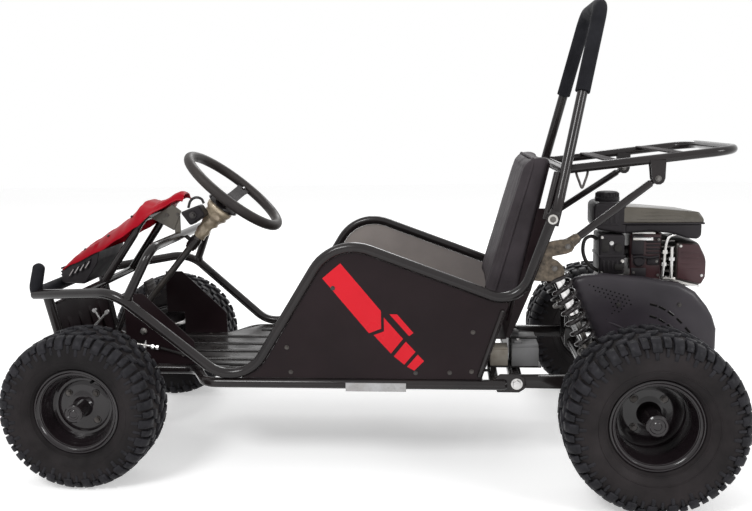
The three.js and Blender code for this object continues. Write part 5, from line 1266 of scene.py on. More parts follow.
tieRod = {"inner": (-0.5508, 0.012, 0.2437), "outer": (-0.52, 0.214, 0.2283), "radius": 0.005}
addRing((0, 0, 0), wheel["radius"], wheel["grip"], 96, 20)
moveMesh(columnFrame)
addPiece("steering_wheel", "wheelGrip", "steering")
addTurned(wheel["hub"], 56)
spoke = [(-x, y) for x, y in wheel["spoke"]] + wheel["spoke"][::-1]
for side in (-1, 1):
    for vert in growFace([(x, side * y, 0) for x, y in spoke], (0, 0, wheel["spokeSheet"])):
        # a spoke rises from the hub to the grip
        vert.co.z += -0.043 + 0.0405 * (abs(vert.co.y) - 0.02) / 0.106
moveMesh(columnFrame)
addPiece("wheel_spokes", "glossBlack", "steering", bevel=0.0012)
for k in range(3):
    addBolt(onCircle(0.022, 90 + 120 * k, -0.033), up, 0.0042)
for side in (-1, 1):
    addBolt((0, side * 0.11, -0.0035), up, 0.004)
moveMesh(columnFrame)
addPiece("wheel_bolts", "brightZinc", "steering")
addRod((0, 0, -0.42), (0, 0, -0.046), 0.008, 24)
addPlate(wheel["arm"], -0.021, 0.021, 0.001)
for z in wheel["collars"]:
    addRod((0, 0, z - 0.003), (0, 0, z + 0.003), 0.0118, 24)
moveMesh(columnFrame)
for x, y, z in onSide([tieRod["inner"]], -1) + [tieRod["inner"]]:
    addRod((x, y, 0.264), (x, y, 0.2257), 0.0035, 16)
    addRod((x, y, 0.2262), (x, y, 0.2222), 0.006, 6)
addPiece("steering_shaft", "darkSteel", "steering")
addTurned(wheel["wrap"], 44)
for vert in bm.verts:
    out = Vector((vert.co.x, vert.co.y, 0))
    if out.length > 0.009:
        vert.co += out.normalized() * noise.noise(vert.co * 60) * wheel["crease"]
moveMesh(columnFrame)
addPiece("column_wrap", "columnWrap", "steering", sharp=70)

# tie rods: a bar with jam nuts between two eyes
for name, side in sides:
    inner, outer = (Vector(point) for point in onSide([tieRod["inner"], tieRod["outer"]], side))
    way = (outer - inner).normalized()
    addTurned(bush(0.0076, 0.0104, 0.004), 28, inner)
    addRod(inner + way * 0.0092, outer, tieRod["radius"], 18)
    for share in (0.1, 0.87):
        place = inner.lerp(outer, share)
        addRod(place, place + way * 0.006, 0.0085, 6)
    addRod(outer - up * 0.006, outer + up * 0.006, 0.009, 24)
    addRod(outer + up * 0.006, outer + up * 0.0115, 0.0062, 6)
    addPiece("tie_rod_" + name, "brightZinc", "tie_rod_" + name)

# pedals: a hub on the front tube, an arm and a ribbed pad
pedal = {
    "y": 0.085,
    "tube": (-0.626, railZ),
    "arm": [(-0.622, 0.211), (-0.614, 0.25), (-0.592, 0.3), (-0.578, 0.334)],
    "pad": (-0.577, 0.338),
    "half": 0.031,
    "lean": 20,
}
for name, side in (("brake_pedal", -1), ("throttle_pedal", 1)):
    y = side * pedal["y"]
    (hubX, hubZ), (padX, padZ) = pedal["tube"], pedal["pad"]
    addTurned(bush(0.0116, 0.0156, 0.012), 32, (hubX, y, hubZ), (0, 1, 0))
    sweep(softLine([(x, y, z) for x, z in pedal["arm"]], 6), 0.0062, 14)
    addPiece(name, "glossBlack", name)
    addBox((-0.004, -pedal["half"], -0.025), (0.0018, pedal["half"], 0.025), 0.0015)
    for k in range(5):
        z = -0.0195 + k * 0.0098
        addBox((0.001, -0.027, z - 0.0022), (0.004, 0.027, z + 0.0022), 0.0008)
    moveMesh(Matrix.Translation((padX, y, padZ)) @ Matrix.Rotation(-math.radians(pedal["lean"]), 4, "Y"))
    addPiece(name + "_pad", "wheelGrip", name)
print("steering and pedals ready")

# wheels. Each is made about its own Z, which then points out of the kart. Disc, reach and tail say where along
# it the rim's disc lies, how far the hub stands out, and how far it goes back; pitches is the lugs' repeat.
wheels = {
    "front": {
        "place": (-0.595, 0.323, 0.16595), "radius": 0.1654, "half": 0.0675, "rimHalf": 0.049, "disc": 0.002,
        "hub": 0.0175, "reach": 0.0618, "tail": 0.03, "pitches": 24, "discRadius": 0.0655,
    },
    "rear": {
        "place": (0.566, 0.39, 0.17638), "radius": 0.1757, "half": 0.075, "rimHalf": 0.053, "disc": -0.034,
        "hub": 0.02, "reach": 0.0518, "tail": 0.048, "pitches": 25, "discRadius": 0.0752,
    },
}


def wheelFrame(spec, side):
    return Matrix.Translation(onSide([spec["place"]], side)[0]) @ turnTo((0, side, 0))


# carcass: its section as shares of the height above the rim's flange and of the half width
carcass = [
    (-0.136, 0.55), (-0.02, 0.625), (0.02, 0.7), (0.05, 0.775), (0.12, 0.855), (0.234, 0.925), (0.41, 0.972),
    (0.58, 0.968), (0.7, 0.938), (0.8, 0.868), (0.872, 0.74), (0.905, 0.5), (0.92, 0.22), (0.925, 0.0),
]


def tyreSection(spec):
    flange = 0.09
    section = [(flange + a * (spec["radius"] - flange), b * spec["half"]) for a, b in carcass]
    section[0] = (0.0795, spec["rimHalf"] - 0.012)
    section[1] = (0.0885, spec["rimHalf"] - 0.0062)
    section[2] = (0.0915, spec["rimHalf"] - 0.0045)
    return section


# one lug: an outline across the tread, grown along it, slanted and bevelled
def addLug(outline, width, slant, turn):
    verts = growFace([(r, -width / 2, y) for r, y in outline], (0, width, 0))
    for vert in verts:
        vert.co.y += slant * (vert.co.z - outline[0][1])
    island = set(roundEdges(verts, 0.0012, 1)) | {vert for vert in verts if vert.is_valid}
    bmesh.ops.rotate(bm, cent=(0, 0, 0), matrix=Matrix.Rotation(turn, 3, "Z"), verts=list(island))


# lugs of one pitch: outlines of (depth, share of the half width), shares of the pitch, slants and places round it
lugs = [
    (
        [(0.011, 0.6), (0.001, 0.61), (0.0034, 0.8), (0.01, 0.925), (0.0185, 0.984), (0.0245, 0.994), (0.0275, 0.96)],
        0.4, 0, 0,
    ),
    ([(0.011, 0.62), (0.0016, 0.63), (0.004, 0.8), (0.009, 0.9), (0.016, 0.962), (0.019, 0.93)], 0.3, 0, 0.5),
    ([(0.026, 0.945), (0.027, 0.984), (0.04, 0.988), (0.042, 0.968)], 0.16, 0, 0.03),
    ([(0.018, 0.9), (0.02, 0.968), (0.033, 0.988), (0.036, 0.972)], 0.13, 0, 0.5),
    ([(0.012, 0.32), (0.0002, 0.33), (0.0006, 0.56), (0.012, 0.57)], 0.5, 0.32, 0.28),
    ([(0.012, 0.04), (0, 0.05), (0, 0.28), (0.012, 0.29)], 0.4, 0.62, 0.8),
]


def treadPitch(spec):
    outer, half = spec["radius"], spec["half"]
    pitch = math.tau / spec["pitches"]
    for end, shift in ((-1, 0), (1, 0.5)):
        for outline, width, slant, place in lugs:
            section = [(outer - depth, end * share * half) for depth, share in outline]
            addLug(section, pitch * outer * width, end * slant, pitch * (shift + place))


def addWheel(name, side, key):
    spec = wheels[key]
    body = "front_wheel_" + name if key == "front" else "rear_axle"
    place = wheelFrame(spec, side)
    section = tyreSection(spec)
    inner = [(r - 0.0055, y * 0.86) for r, y in section[4:]]
    whole = section + [(r, -y) for r, y in reversed(section[:-1])]
    lining = [(0.0795, -(spec["rimHalf"] - 0.02))] + [(r, -y) for r, y in inner[:-1]]
    lining += [inner[-1]] + [(r, y) for r, y in reversed(inner[:-1])] + [(0.0795, spec["rimHalf"] - 0.02)]
    addTurned([*whole, *lining, whole[0]], 90)
    for end in (-1, 1):
        for r, share, wire in ((0.0965, 0.8, 0.0016), (0.112, 0.93, 0.0012)):
            addRing((0, 0, end * share * spec["half"]), r, wire, 90, 8)
    moveMesh(place)
    addPiece(key + "_tyre_" + name, "tyreRubber", body, sharp=60)
    treadPitch(spec)
    bmesh.ops.recalc_face_normals(bm, faces=bm.faces)
    bmesh.ops.spin(
        bm, geom=bm.verts[:] + bm.edges[:] + bm.faces[:], cent=(0, 0, 0), axis=(0, 0, 1),
        angle=math.tau * (spec["pitches"] - 1) / spec["pitches"], steps=spec["pitches"] - 1, use_duplicate=True,
    )
    moveMesh(place)
    addPiece(key + "_tread_" + name, "treadRubber", body, sharp=50)

    # rim: a rolled lip, a stepped barrel, and a disc round the hub
    half, disc, hub, reach, tail = (spec[value] for value in ("rimHalf", "disc", "hub", "reach", "tail"))
    discRadius = spec["discRadius"]
    deep = key == "rear"
    lip = [
        (0.0795, 0.006), (0.085, 0.0052), (0.0882, 0.0042), (0.0899, 0.0022), (0.0896, 0.0006), (0.0878, 0),
        (0.0858, 0.0008), (0.084, 0.0035), (0.0815, 0.0062), (0.0775, 0.008), (0.0755, 0.011),
    ]
    lip = [(r, half - y) for r, y in lip]
    if deep:
        barrel = [
            (0.0738, 0.03), (0.07, 0.0235), (0.0688, 0.018), (0.0688, -0.006), (0.07, -0.012), (0.0735, -0.018),
            (0.075, -0.0225), (0.0748, disc + 0.0085),
        ]
        rearBarrel = [(0.0752, -0.0455)]
    else:
        barrel = [(0.0738, 0.03), (0.07, 0.024), (0.0672, 0.0205), (0.0662, 0.015), (0.0655, disc + 0.0075)]
        rearBarrel = [(0.0655, -0.015), (0.0672, -0.0205), (0.07, -0.024), (0.0738, -0.03)]
    plate = [
        (discRadius - 0.0045, 0.0035), (discRadius - 0.01, 0.003), (0.056, 0.0032), (0.051, 0.0055), (0.046, 0.0062),
        (0.036, 0.006), (0.03, 0.0075), (hub + 0.0045, 0.0085), (hub + 0.0008, 0.012), (hub, 0.018),
    ]
    plate = [(r, disc + y) for r, y in plate]
    cap = [
        (hub, 0.0075), (hub + 0.0014, 0.0062), (hub + 0.0014, 0.0022), (hub - 0.001, 0.0002), (hub - 0.0048, 0),
        (hub - 0.0062, 0.0016), (0.0085, 0.0018), (0.007, 0.0006), (0, 0),
    ]
    cap = [(r, reach - y) for r, y in cap]
    back = [
        (0, -tail * 0.9), (hub - 0.002, -tail), (hub, -tail + 0.002), (hub, disc - 0.008),
        (discRadius - 0.006, disc - 0.0022), (discRadius - 0.002, disc - 0.006),
    ]
    outside = [(0.0783, half - 0.008), (0.0783, 0.03), (0.07, 0.022)]
    rear = [(r, -y) for r, y in lip]
    whole = cap[::-1] + plate[::-1] + barrel[::-1] + lip[::-1]
    whole += outside + [(r, -y) for r, y in outside[::-1]] + rear + rearBarrel[::-1] + back[::-1]
    addTurned(whole, 96)
    moveMesh(place)
    addPiece(key + "_rim_" + name, "glossRim", body, sharp=32)
    spots = [onCircle(0.041, 45 + 90 * k, disc + 0.0055) for k in range(4)]
    for spot in spots:
        addBolt(spot, up, 0.0062)
    moveMesh(place)
    addPiece(key + "_nuts_" + name, "darkSteel", body)
    # a ring of painted shade round each nut, where its recess is dark, and the valve in its own black rubber
    for spot in spots:
        addRing(spot, 0.0082, 0.0008, 24, 6)
    valve = onCircle(0.069, 62, disc + 0.0035 if deep else 0.0205)
    addRod(valve, valve + up * 0.016, 0.0036, 14, 0.003)
    moveMesh(place)
    addPiece(key + "_nut_shade_and_valve_" + name, "paintedShadeAndValveBlack", body)


for name, side in sides:
    for key in wheels:
        addWheel(name, side, key)
print("wheels ready")

# rear axle with its collars
axle = {"half": 0.4355, "radius": 0.0124, "collars": [-0.118, 0.118, -0.145, 0.15], "collarRadius": 0.0185}
axleX, _, axleZ = wheels["rear"]["place"]
addAcross(axleX, axleZ, -axle["half"], axle["half"], axle["radius"], 28)
for y in axle["collars"]:
    addAcross(axleX, axleZ, y - 0.006, y + 0.006, axle["collarRadius"], 28)
addPiece("rear_axle", "dullSteel", "rear_axle")

# the pieces that keep their CAD solids only take a finish
for node, finish in (
    ("front_beam", "glossBlack"), ("knuckle_left", "darkSteel"), ("knuckle_right", "darkSteel"),
    ("rear_sprocket", "dullSteel"), ("brake_disc", "dullSteel"), ("drive_chain", "darkSteel"),
    ("brake_caliper", "castAlloy"), ("clutch_drum", "dullSteel"),
):
    solid = cadNodes[node]
    solid.data.materials.clear()
    solid.data.materials.append(finishes[finish])
for z in (0.228, 0.252):
    for x in (0.514, 0.544):
        addBolt((x, 0.1822, z), (0, 1, 0), 0.0048)
addPiece("caliper_bolts", "brightZinc", "swing_arm")

# swing arm: rounded bars from the pivot to the shock absorbers, plates back to the axle, a deck on top
swingArm = {
    "bar": [(0.311, 0.1855), (0.493, 0.184), (0.493, 0.214), (0.311, 0.2125), (0.304, 0.206), (0.304, 0.192)],
    "barY": (0.221, 0.239),
    # the pair of ears that holds each shock absorber
    "ear": [(0.463, 0.184), (0.493, 0.184), (0.493, 0.252), (0.486, 0.262), (0.47, 0.262), (0.463, 0.252)],
    "earsY": [(0.2368, 0.2408), (0.2192, 0.2232)],
    "inner": [
        (0.463, 0.184), (0.542, 0.1524), (0.59, 0.1524), (0.655, 0.176), (0.655, 0.257), (0.625, 0.257),
        (0.59, 0.2004), (0.542, 0.2004), (0.493, 0.258), (0.463, 0.258),
    ],
    "innerY": (0.13, 0.148),
    # cross tubes: x, z, half length, radius and sides
    "crosses": [
        (0.478, 0.194, 0.23, 0.01, 24), (0.478, 0.25, 0.2235, 0.01, 24), (0.478, 0.25, 0.2385, 0.005, 16),
        (0.64, 0.252, 0.139, 0.01, 24),
    ],
    "deck": ((0.466, -0.128, 0.26), (0.7, 0.128, 0.266)),
}
x, z = floorFrame["pivot"]
addTurned(bush(0.0091, 0.015, swingArm["barY"][1]), 32, (x, 0, z), (0, 1, 0))
for name, side in sides:
    addPlate(swingArm["bar"], *spanY(side, *swingArm["barY"]), 0.003)
    for low, high in swingArm["earsY"]:
        addPlate(swingArm["ear"], *spanY(side, low, high))
    addPlate(swingArm["inner"], *spanY(side, *swingArm["innerY"]), 0.002)
    addTurned(bush(0.0136, 0.024, 0.012), 36, (axleX, side * 0.139, axleZ), (0, 1, 0))
for x, z, half, radius, count in swingArm["crosses"]:
    addAcross(x, z, -half, half, radius, count)
addBox(*swingArm["deck"], 0.0015)
addPiece("swing_arm", "glossBlack", "swing_arm", bevel=0.0008)
for name, side in sides:
    addBolt((0.478, side * 0.2409, 0.25), (0, side, 0), 0.0062, washer=False)
    for x in (0.5, 0.682):
        addBolt((x, side * 0.118, 0.266), up, 0.0055)
addPiece("swing_arm_bolts", "brightZinc", "swing_arm")

# shock absorbers: an upper half with its cup, a rod with its own, and the coil between them
shock = {
    "top": (0.392, 0.23, 0.446),
    "bottom": (0.478, 0.23, 0.25),
    # half of an eye's profile; the rod's has a wider bore
    "eye": [(0.0054, 0.0064), (0.0105, 0.0064), (0.011, 0.0058)],
    "bores": (0.0054, 0.0066),
    "cup": 0.0258,
    # from an eye's middle to the coil's end
    "seat": 0.0253,
    "coil": 0.0205,
    "wire": 0.0048,
    "turns": 6.5,
    "travel": 0.022,
    "sleeve": [(0.0121, 0.03), (0.0126, 0.0305), (0.0126, 0.108), (0.0121, 0.1085), (0.0121, 0.03)],
}
eye = [(r, -y) for r, y in shock["eye"]] + shock["eye"][::-1]
cup = shock["cup"]
for name, side in sides:
    top, bottom = (Vector(point) for point in onSide([shock["top"], shock["bottom"]], side))
    way = (bottom - top).normalized()
    length = (bottom - top).length
    # the piece's own Z runs down the shock absorber
    frameOf = Matrix.Translation(top) @ turnTo(way)
    bodyNode = "shock_body_" + name
    rodNode = "shock_rod_" + name
    bodyProfile = [
        (0, 0.009), (0.0095, 0.01), (0.012, 0.016), (0.013, 0.0195), (cup - 0.002, 0.02), (cup, 0.0215),
        (cup, 0.0262), (cup - 0.003, 0.0262), (cup - 0.004, 0.0235), (0.0135, 0.024), (0.012, 0.028),
        (0.012, 0.109), (0.0108, 0.1118), (0.0066, 0.112), (0.0066, 0.035), (0, 0.035),
    ]
    rodProfile = [
        (0, 0.095), (0.005, 0.095), (0.0058, 0.096), (0.0058, length - 0.04), (0.0125, length - 0.039),
        (0.0125, length - 0.0265), (cup - 0.004, length - 0.0235), (cup - 0.003, length - 0.0262),
        (cup, length - 0.0262), (cup, length - 0.0215), (cup - 0.002, length - 0.02),
        (0.013, length - 0.0195), (0.0115, length - 0.014), (0.0095, length - 0.01), (0, length - 0.009),
    ]
    for node, centre, bore, profile, finish in (
        (bodyNode, top, shock["bores"][0], bodyProfile, "glossBlack"),
        (rodNode, bottom, shock["bores"][1], rodProfile, "dullSteel"),
    ):
        addTurned([(max(r, bore), y) for r, y in eye + eye[:1]], 32, centre, (0, 1, 0))
        moveMesh(frameOf.inverted())
        addTurned(profile, 40)
        moveMesh(frameOf)
        addPiece(node, finish, node)
        if node == bodyNode:
            addTurned(shock["sleeve"], 40)
            moveMesh(frameOf)
            addPiece("shock_sleeve_" + name, "shockChrome", node)
    low, high = shock["seat"] + shock["wire"], length - shock["seat"] - shock["wire"]
    count = round(shock["turns"] * 20)
    coil = [
        frameOf @ onCircle(shock["coil"], 360 * shock["turns"] * k / count, low + (high - low) * k / count)
        for k in range(count + 1)
    ]
    ways = [(coil[min(k + 1, count)] - coil[max(k - 1, 0)]).normalized() for k in range(count + 1)]
    sweep(list(zip(coil, ways)), shock["wire"], 10)
    spring = addPiece("shock_spring_" + name, "glossBlack", bodyNode, sharp=60)
    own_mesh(spring)
print("swing arm and shock absorbers ready")

# engine block: a ribbed lower half with a round cover, its shaft and the posts that carry the drive guard
engine = {
    "crankcase": [
        (0.515, 0.2665), (0.69, 0.2665), (0.69, 0.343), (0.669, 0.382), (0.6375, 0.3948), (0.536, 0.3948),
        (0.515, 0.3628),
    ],
    "crankcaseY": (-0.126, 0.0615),
    "rib": [(0.5135, 0.29), (0.5175, 0.29), (0.5175, 0.35), (0.5135, 0.35)],
    "crank": (0.598, 0.33),
    "coverY": -0.128,
    "coverBolts": 0.046,
    "posts": [(0.5325, 0.3592), (0.6585, 0.3592)],
}
addPlate(engine["crankcase"], *engine["crankcaseY"], 0.004)
for k in range(9):
    y = -0.11 + k * 0.019
    addPlate(engine["rib"], y, y + 0.004, 0.0008)
x, z = engine["crank"]
addAcross(x, z, engine["coverY"], -0.124, 0.052, 48)
for postX, postZ in engine["posts"]:
    addAcross(postX, postZ, -0.1972, -0.12, 0.0063, 16)
addPiece("crankcase", "castAlloy", "swing_arm")
addAcross(x, z, -0.17, -0.124, 0.0088, 24)
for k in range(8):
    a, b, y = onCircle(engine["coverBolts"], 45 * k, engine["coverY"])
    addBolt((x + a, y, z + b), (0, -1, 0), 0.0035)
addPiece("crankcase_bolts", "brightZinc", "swing_arm")

# fan shroud with its plates and strips, the fan's cover behind it, fins and pipes
shroud = {
    "low": (0.572, -0.11, 0.3955),
    "high": (0.638, 0.076, 0.4995),
    # plates on its left face: two corners and the rounding
    "plates": [
        ((0.5735, -0.1135, 0.402), (0.606, -0.1095, 0.424), 0.003),
        ((0.5735, -0.115, 0.452), (0.6, -0.1095, 0.4965), 0.004),
        ((0.6075, -0.114, 0.43), (0.634, -0.1095, 0.446), 0.003),
    ],
    "strips": [
        ((0.574, -0.1165, 0.4985), (0.624, -0.112, 0.504), 0.0022),
        ((0.576, -0.1165, 0.4845), (0.619, -0.1135, 0.491), 0.0012),
    ],
    "knob": [(0, 0), (0.0125, 0), (0.0125, 0.005), (0.009, 0.0075), (0, 0.0075)],
    "knobPlace": (0.59, -0.1095, 0.4385),
    "wire": [(0.576, -0.116, 0.448), (0.592, -0.1185, 0.45), (0.612, -0.1185, 0.447), (0.632, -0.116, 0.45)],
    "fan": (0.598, 0.3463),
    "fanProfile": [
        (0, 0.118), (0.022, 0.118), (0.024, 0.1155), (0.06, 0.115), (0.07, 0.1125), (0.0765, 0.105),
        (0.0775, 0.095), (0.0775, 0.0625), (0, 0.0625),
    ],
    "pipe": [
        (0.666, -0.113, 0.4975), (0.654, -0.1165, 0.494), (0.6475, -0.1175, 0.483), (0.644, -0.118, 0.46),
        (0.6425, -0.118, 0.433), (0.64, -0.116, 0.406),
    ],
    "bolts": [(0.579, 0.4135), (0.628, 0.438), (0.579, 0.491), (0.631, 0.4865), (0.631, 0.408)],
}
addBox(shroud["low"], shroud["high"], 0.004, 3)
addPiece("engine_shroud", "engineRed", "swing_arm")
for low, high, rounding in shroud["plates"]:
    addBox(low, high, rounding)
for k in range(5):
    z = 0.4555 + k * 0.008
    addBox((0.606, -0.114, z), (0.635, -0.1095, z + 0.0038), 0.001)
addTurned(shroud["knob"], 32, shroud["knobPlace"], (0, -1, 0))
sweep(softLine(shroud["wire"], 5), 0.0028, 10)
addPiece("shroud_plates", "mattPlastic", "swing_arm", bevel=0.0006)
for low, high, rounding in shroud["strips"]:
    addBox(low, high, rounding)
addPiece("shroud_strips", "brightZinc", "swing_arm")
x, z = shroud["fan"]
addTurned(shroud["fanProfile"], 64, (x, 0, z), (0, 1, 0))
addPiece("fan_cover", "engineRed", "swing_arm")
# the fan cover's slots are dark rods on its face: painted shade where the openings are
for k in range(24):
    a, b, y = onCircle(0.043, 15 * k, 0.1153)
    middle = Vector((x + a, y, z + b))
    out = Vector((a, 0, b)).normalized()
    addRod(middle - out * 0.012, middle + out * 0.013, 0.0016, 8)
addPiece("fan_slot_shade", "paintedShadeAndValveBlack", "swing_arm")
for k in range(7):
    z = 0.4 + k * 0.0135
    addBox((0.64, -0.104, z), (0.668, 0.06, z + 0.0025), 0.0006)
addPiece("cylinder_fins", "castAlloy", "swing_arm")
sweep(softLine(shroud["pipe"], 6), 0.0034, 14)
for x, y, z in shroud["pipe"][3:5]:
    addRod((x, y, z - 0.004), (x, y, z + 0.004), 0.0056, 6)
addRod((0.66, -0.112, 0.402), (0.66, -0.112, 0.47), 0.004, 16)
addRod((0.66, -0.112, 0.44), (0.66, -0.112, 0.447), 0.0068, 6)
addBox((0.642, -0.112, 0.3955), (0.67, -0.106, 0.402), 0.0012)
addPiece("engine_pipes", "brightZinc", "swing_arm")
for x, z in shroud["bolts"]:
    addBolt((x, -0.114, z), (0, -1, 0), 0.0026)
addPiece("shroud_bolts", "dullSteel", "swing_arm")

# fuel tank: two pressed halves with a seam, a raised filler end, and its cap
tank = {
    "y": (-0.1275, 0.0875),
    "seam": 0.5235,
    "upper": [
        (0.55, 0.5235), (0.7225, 0.5235), (0.7228, 0.532), (0.712, 0.5475), (0.62, 0.556), (0.562, 0.5598),
        (0.55, 0.559),
    ],
    "lower": [
        (0.556, 0.5003), (0.61, 0.505), (0.66, 0.5003), (0.686, 0.4905), (0.712, 0.488), (0.7195, 0.496),
        (0.7195, 0.523), (0.556, 0.523),
    ],
    "front": [
        (0.4974, 0.5096), (0.5585, 0.5003), (0.5585, 0.5612), (0.5515, 0.57), (0.4974, 0.57), (0.489, 0.5624),
        (0.489, 0.518),
    ],
    "cap": (0.524, -0.08),
    "capProfile": [
        (0, 0.5902), (0.018, 0.5902), (0.0225, 0.589), (0.024, 0.5865), (0.0245, 0.579), (0.0268, 0.577),
        (0.0268, 0.5706), (0.022, 0.5706), (0.022, 0.58), (0, 0.58),
    ],
    # the cap's grips: how many, and the lower and upper end as radius and height
    "grips": 22,
    "grip": [(0.0246, 0.5775), (0.0243, 0.5868)],
}
addPlate(tank["upper"], *tank["y"], 0.009, 4)
for vert in bm.verts:
    if vert.co.z > tank["seam"] + 0.004:
        vert.co.z -= 0.011 * ((vert.co.y + 0.095) / 0.182) ** 2 * (vert.co.y > -0.095)
addPiece("fuel_tank", "tankPlastic", "swing_arm", sharp=50)
addPlate(tank["lower"], tank["y"][0] + 0.003, tank["y"][1] - 0.003, 0.008, 3)
addBox((0.549, -0.129, tank["seam"] - 0.0026), (0.7245, 0.0885, tank["seam"] + 0.0018), 0.002)
addPlate(tank["front"], tank["y"][0], -0.03, 0.007, 3)
addBox((0.496, -0.129, 0.52), (0.542, -0.1262, 0.547), 0.002)
for k in range(4):
    addBox((0.5 + k * 0.0105, -0.13, 0.524), (0.5055 + k * 0.0105, -0.128, 0.543), 0.0006)
addPiece("tank_base", "mattPlastic", "swing_arm", sharp=45)
for k in range(3):
    z = tank["seam"] + 0.008 + k * 0.0075
    addBox((0.58 + k * 0.012, -0.1282, z), (0.69 - k * 0.01, -0.127, z + 0.0012), 0.0004)
addPiece("tank_streaks", "tankPlastic", "swing_arm")
cap = Vector((*tank["cap"], 0))
addTurned(tank["capProfile"], 48, cap)
for k in range(tank["grips"]):
    low, high = (cap + onCircle(radius, 360 * k / tank["grips"], z) for radius, z in tank["grip"])
    addRod(low, high, 0.0016, 8)
addPiece("fuel_cap", "mattPlastic", "fuel_cap")
addTurned([(0, 0.5795), (0.0205, 0.5795), (0.0205, 0.568), (0, 0.568)], 36, cap)
addPiece("tank_neck", "mattPlastic", "swing_arm")

# air filter box with its lid, clips, intake and hoses
filterBox = {
    "bolts": [(0.529, 0.48, 0.004), (0.553, 0.44, 0.0034), (0.5085, 0.4925, 0.0026), (0.5085, 0.4145, 0.0026)],
    "ventHose": [
        (0.502, -0.094, 0.486), (0.488, -0.096, 0.492), (0.474, -0.1, 0.484), (0.47, -0.104, 0.462),
        (0.476, -0.106, 0.44), (0.49, -0.106, 0.424), (0.506, -0.104, 0.414), (0.519, -0.1, 0.396),
    ],
    "fuelHose": [
        (0.516, -0.112, 0.41), (0.5, -0.118, 0.398), (0.484, -0.122, 0.384), (0.47, -0.122, 0.368),
        (0.4665, -0.118, 0.3), (0.478, -0.11, 0.266),
    ],
}
addBox((0.503, -0.1215, 0.41), (0.558, -0.03, 0.4995), 0.006, 3)
addBox((0.5015, -0.1225, 0.447), (0.5595, -0.029, 0.4535), 0.001)
for k in range(5):
    x = 0.511 + k * 0.0095
    addBox((x, -0.1232, 0.417), (x + 0.004, -0.12, 0.441), 0.001)
addRod((0.55, -0.076, 0.4545), (0.5717, -0.076, 0.4545), 0.014, 28)
addPiece("air_filter_box", "mattPlastic", "swing_arm")
for x, z, size in filterBox["bolts"]:
    addBolt((x, -0.1222, z), (0, -1, 0), size)
addPiece("filter_bolts", "brightZinc", "swing_arm")
addBox((0.5075, -0.1245, 0.46), (0.5235, -0.121, 0.488), 0.003)
addBox((0.536, -0.125, 0.42), (0.556, -0.121, 0.434), 0.003)
addAcross(0.543, 0.47, -0.127, -0.121, 0.0085, 24)
addPiece("filter_clips", "cableSleeve", "swing_arm")
sweep(softLine(filterBox["ventHose"], 6), 0.004, 14)
sweep(softLine(filterBox["fuelHose"], 6), 0.0028, 12)
addPiece("fuel_hoses", "cableSleeve", "swing_arm")

# muffler with its pressed cover, outlet and bracket
muffler = {
    "outline": [
        (0.669, 0.39), (0.686, 0.38), (0.724, 0.38), (0.738, 0.4), (0.738, 0.442), (0.7187, 0.48), (0.669, 0.48),
    ],
    "y": (-0.104, 0.05),
    "cover": [
        (0.674, 0.399), (0.726, 0.386), (0.7345, 0.402), (0.7345, 0.44), (0.719, 0.474), (0.682, 0.476),
        (0.674, 0.466),
    ],
    "coverY": (-0.1085, -0.103),
    "bracket": [
        (0.645, 0.4), (0.66, 0.3925), (0.7, 0.3835), (0.722, 0.38), (0.722, 0.3845), (0.7, 0.389),
        (0.662, 0.399), (0.648, 0.406),
    ],
    "bolts": [(0.68, 0.471), (0.7265, 0.406)],
}
addPlate(muffler["outline"], *muffler["y"], 0.01, 4)
addRod((0.6515, -0.029, 0.43), (0.676, -0.029, 0.43), 0.012, 24)
addPiece("muffler", "darkSteel", "swing_arm", sharp=50)
outside, inside = muffler["coverY"]
addPlate(muffler["cover"], outside, inside, 0.003, 3)
for k in range(4):
    z = 0.418 + k * 0.0125
    addBox((0.682, -0.1092, z), (0.727 - k * 0.003, -0.1075, z + 0.0028), 0.0008)
addPiece("muffler_cover", "engineRed", "swing_arm")
addPlate(muffler["bracket"], -0.111, -0.1075, 0.0008, 1)
for x, z in muffler["bolts"]:
    addBolt((x, outside, z), (0, -1, 0), 0.0026)
addPiece("muffler_bracket", "brightZinc", "swing_arm")
print("engine ready")

# drive guard: a domed cover with rows of dots and slanted slots
guard = {
    "corner": (0.436, 0.208),
    "size": (0.303, 0.215),
    "shares": [
        (0.27, 0.0), (0.86, 0.0), (0.96, 0.08), (1.0, 0.25), (1.0, 0.45), (0.97, 0.58), (0.93, 0.68), (0.85, 0.82),
        (0.74, 0.91), (0.5, 0.965), (0.22, 1.0), (0.08, 0.99), (0.02, 0.955), (0.0, 0.9), (0.04, 0.74),
        (0.1, 0.55), (0.18, 0.3), (0.22, 0.08),
    ],
    "rings": [
        (1.0, -0.174), (1.0, -0.185), (0.988, -0.1895), (0.96, -0.193), (0.9, -0.1955), (0.78, -0.1975),
        (0.55, -0.1988), (0.28, -0.1995),
    ],
    "inside": [(0.28, -0.196), (0.78, -0.194), (0.94, -0.19), (0.97, -0.174)],
    "dots": {"rows": 9, "columns": 11, "first": (0.463, 0.4035), "step": 0.0088, "slant": (0.0036, 0.0026)},
    # two rows of slots: how far each stands below the first, and how many it has
    "slots": [(0.026, 6), (0.05, 5)],
    "ribs": [
        [(0.5, 0.225), (0.5, 0.262), (0.53, 0.292), (0.6, 0.292), (0.7, 0.282)],
        [(0.47, 0.33), (0.52, 0.318), (0.56, 0.3)],
    ],
    "lowBolts": [(0.52, 0.232), (0.712, 0.262)],
}
x0, z0 = guard["corner"]
width, height = guard["size"]
middleX, middleZ = x0 + width * 0.52, z0 + height * 0.5


def guardOutline(share):
    points = [(x0 + a * width, z0 + b * height) for a, b in guard["shares"]]
    return [(middleX + (x - middleX) * share, middleZ + (z - middleZ) * share) for x, z in points]


def guardRing(share, y):
    verts = [bm.verts.new((x, y, z)) for x, z in guardOutline(share)]
    return [bm.edges.new(pair) for pair in zip(verts, verts[1:] + verts[:1])]


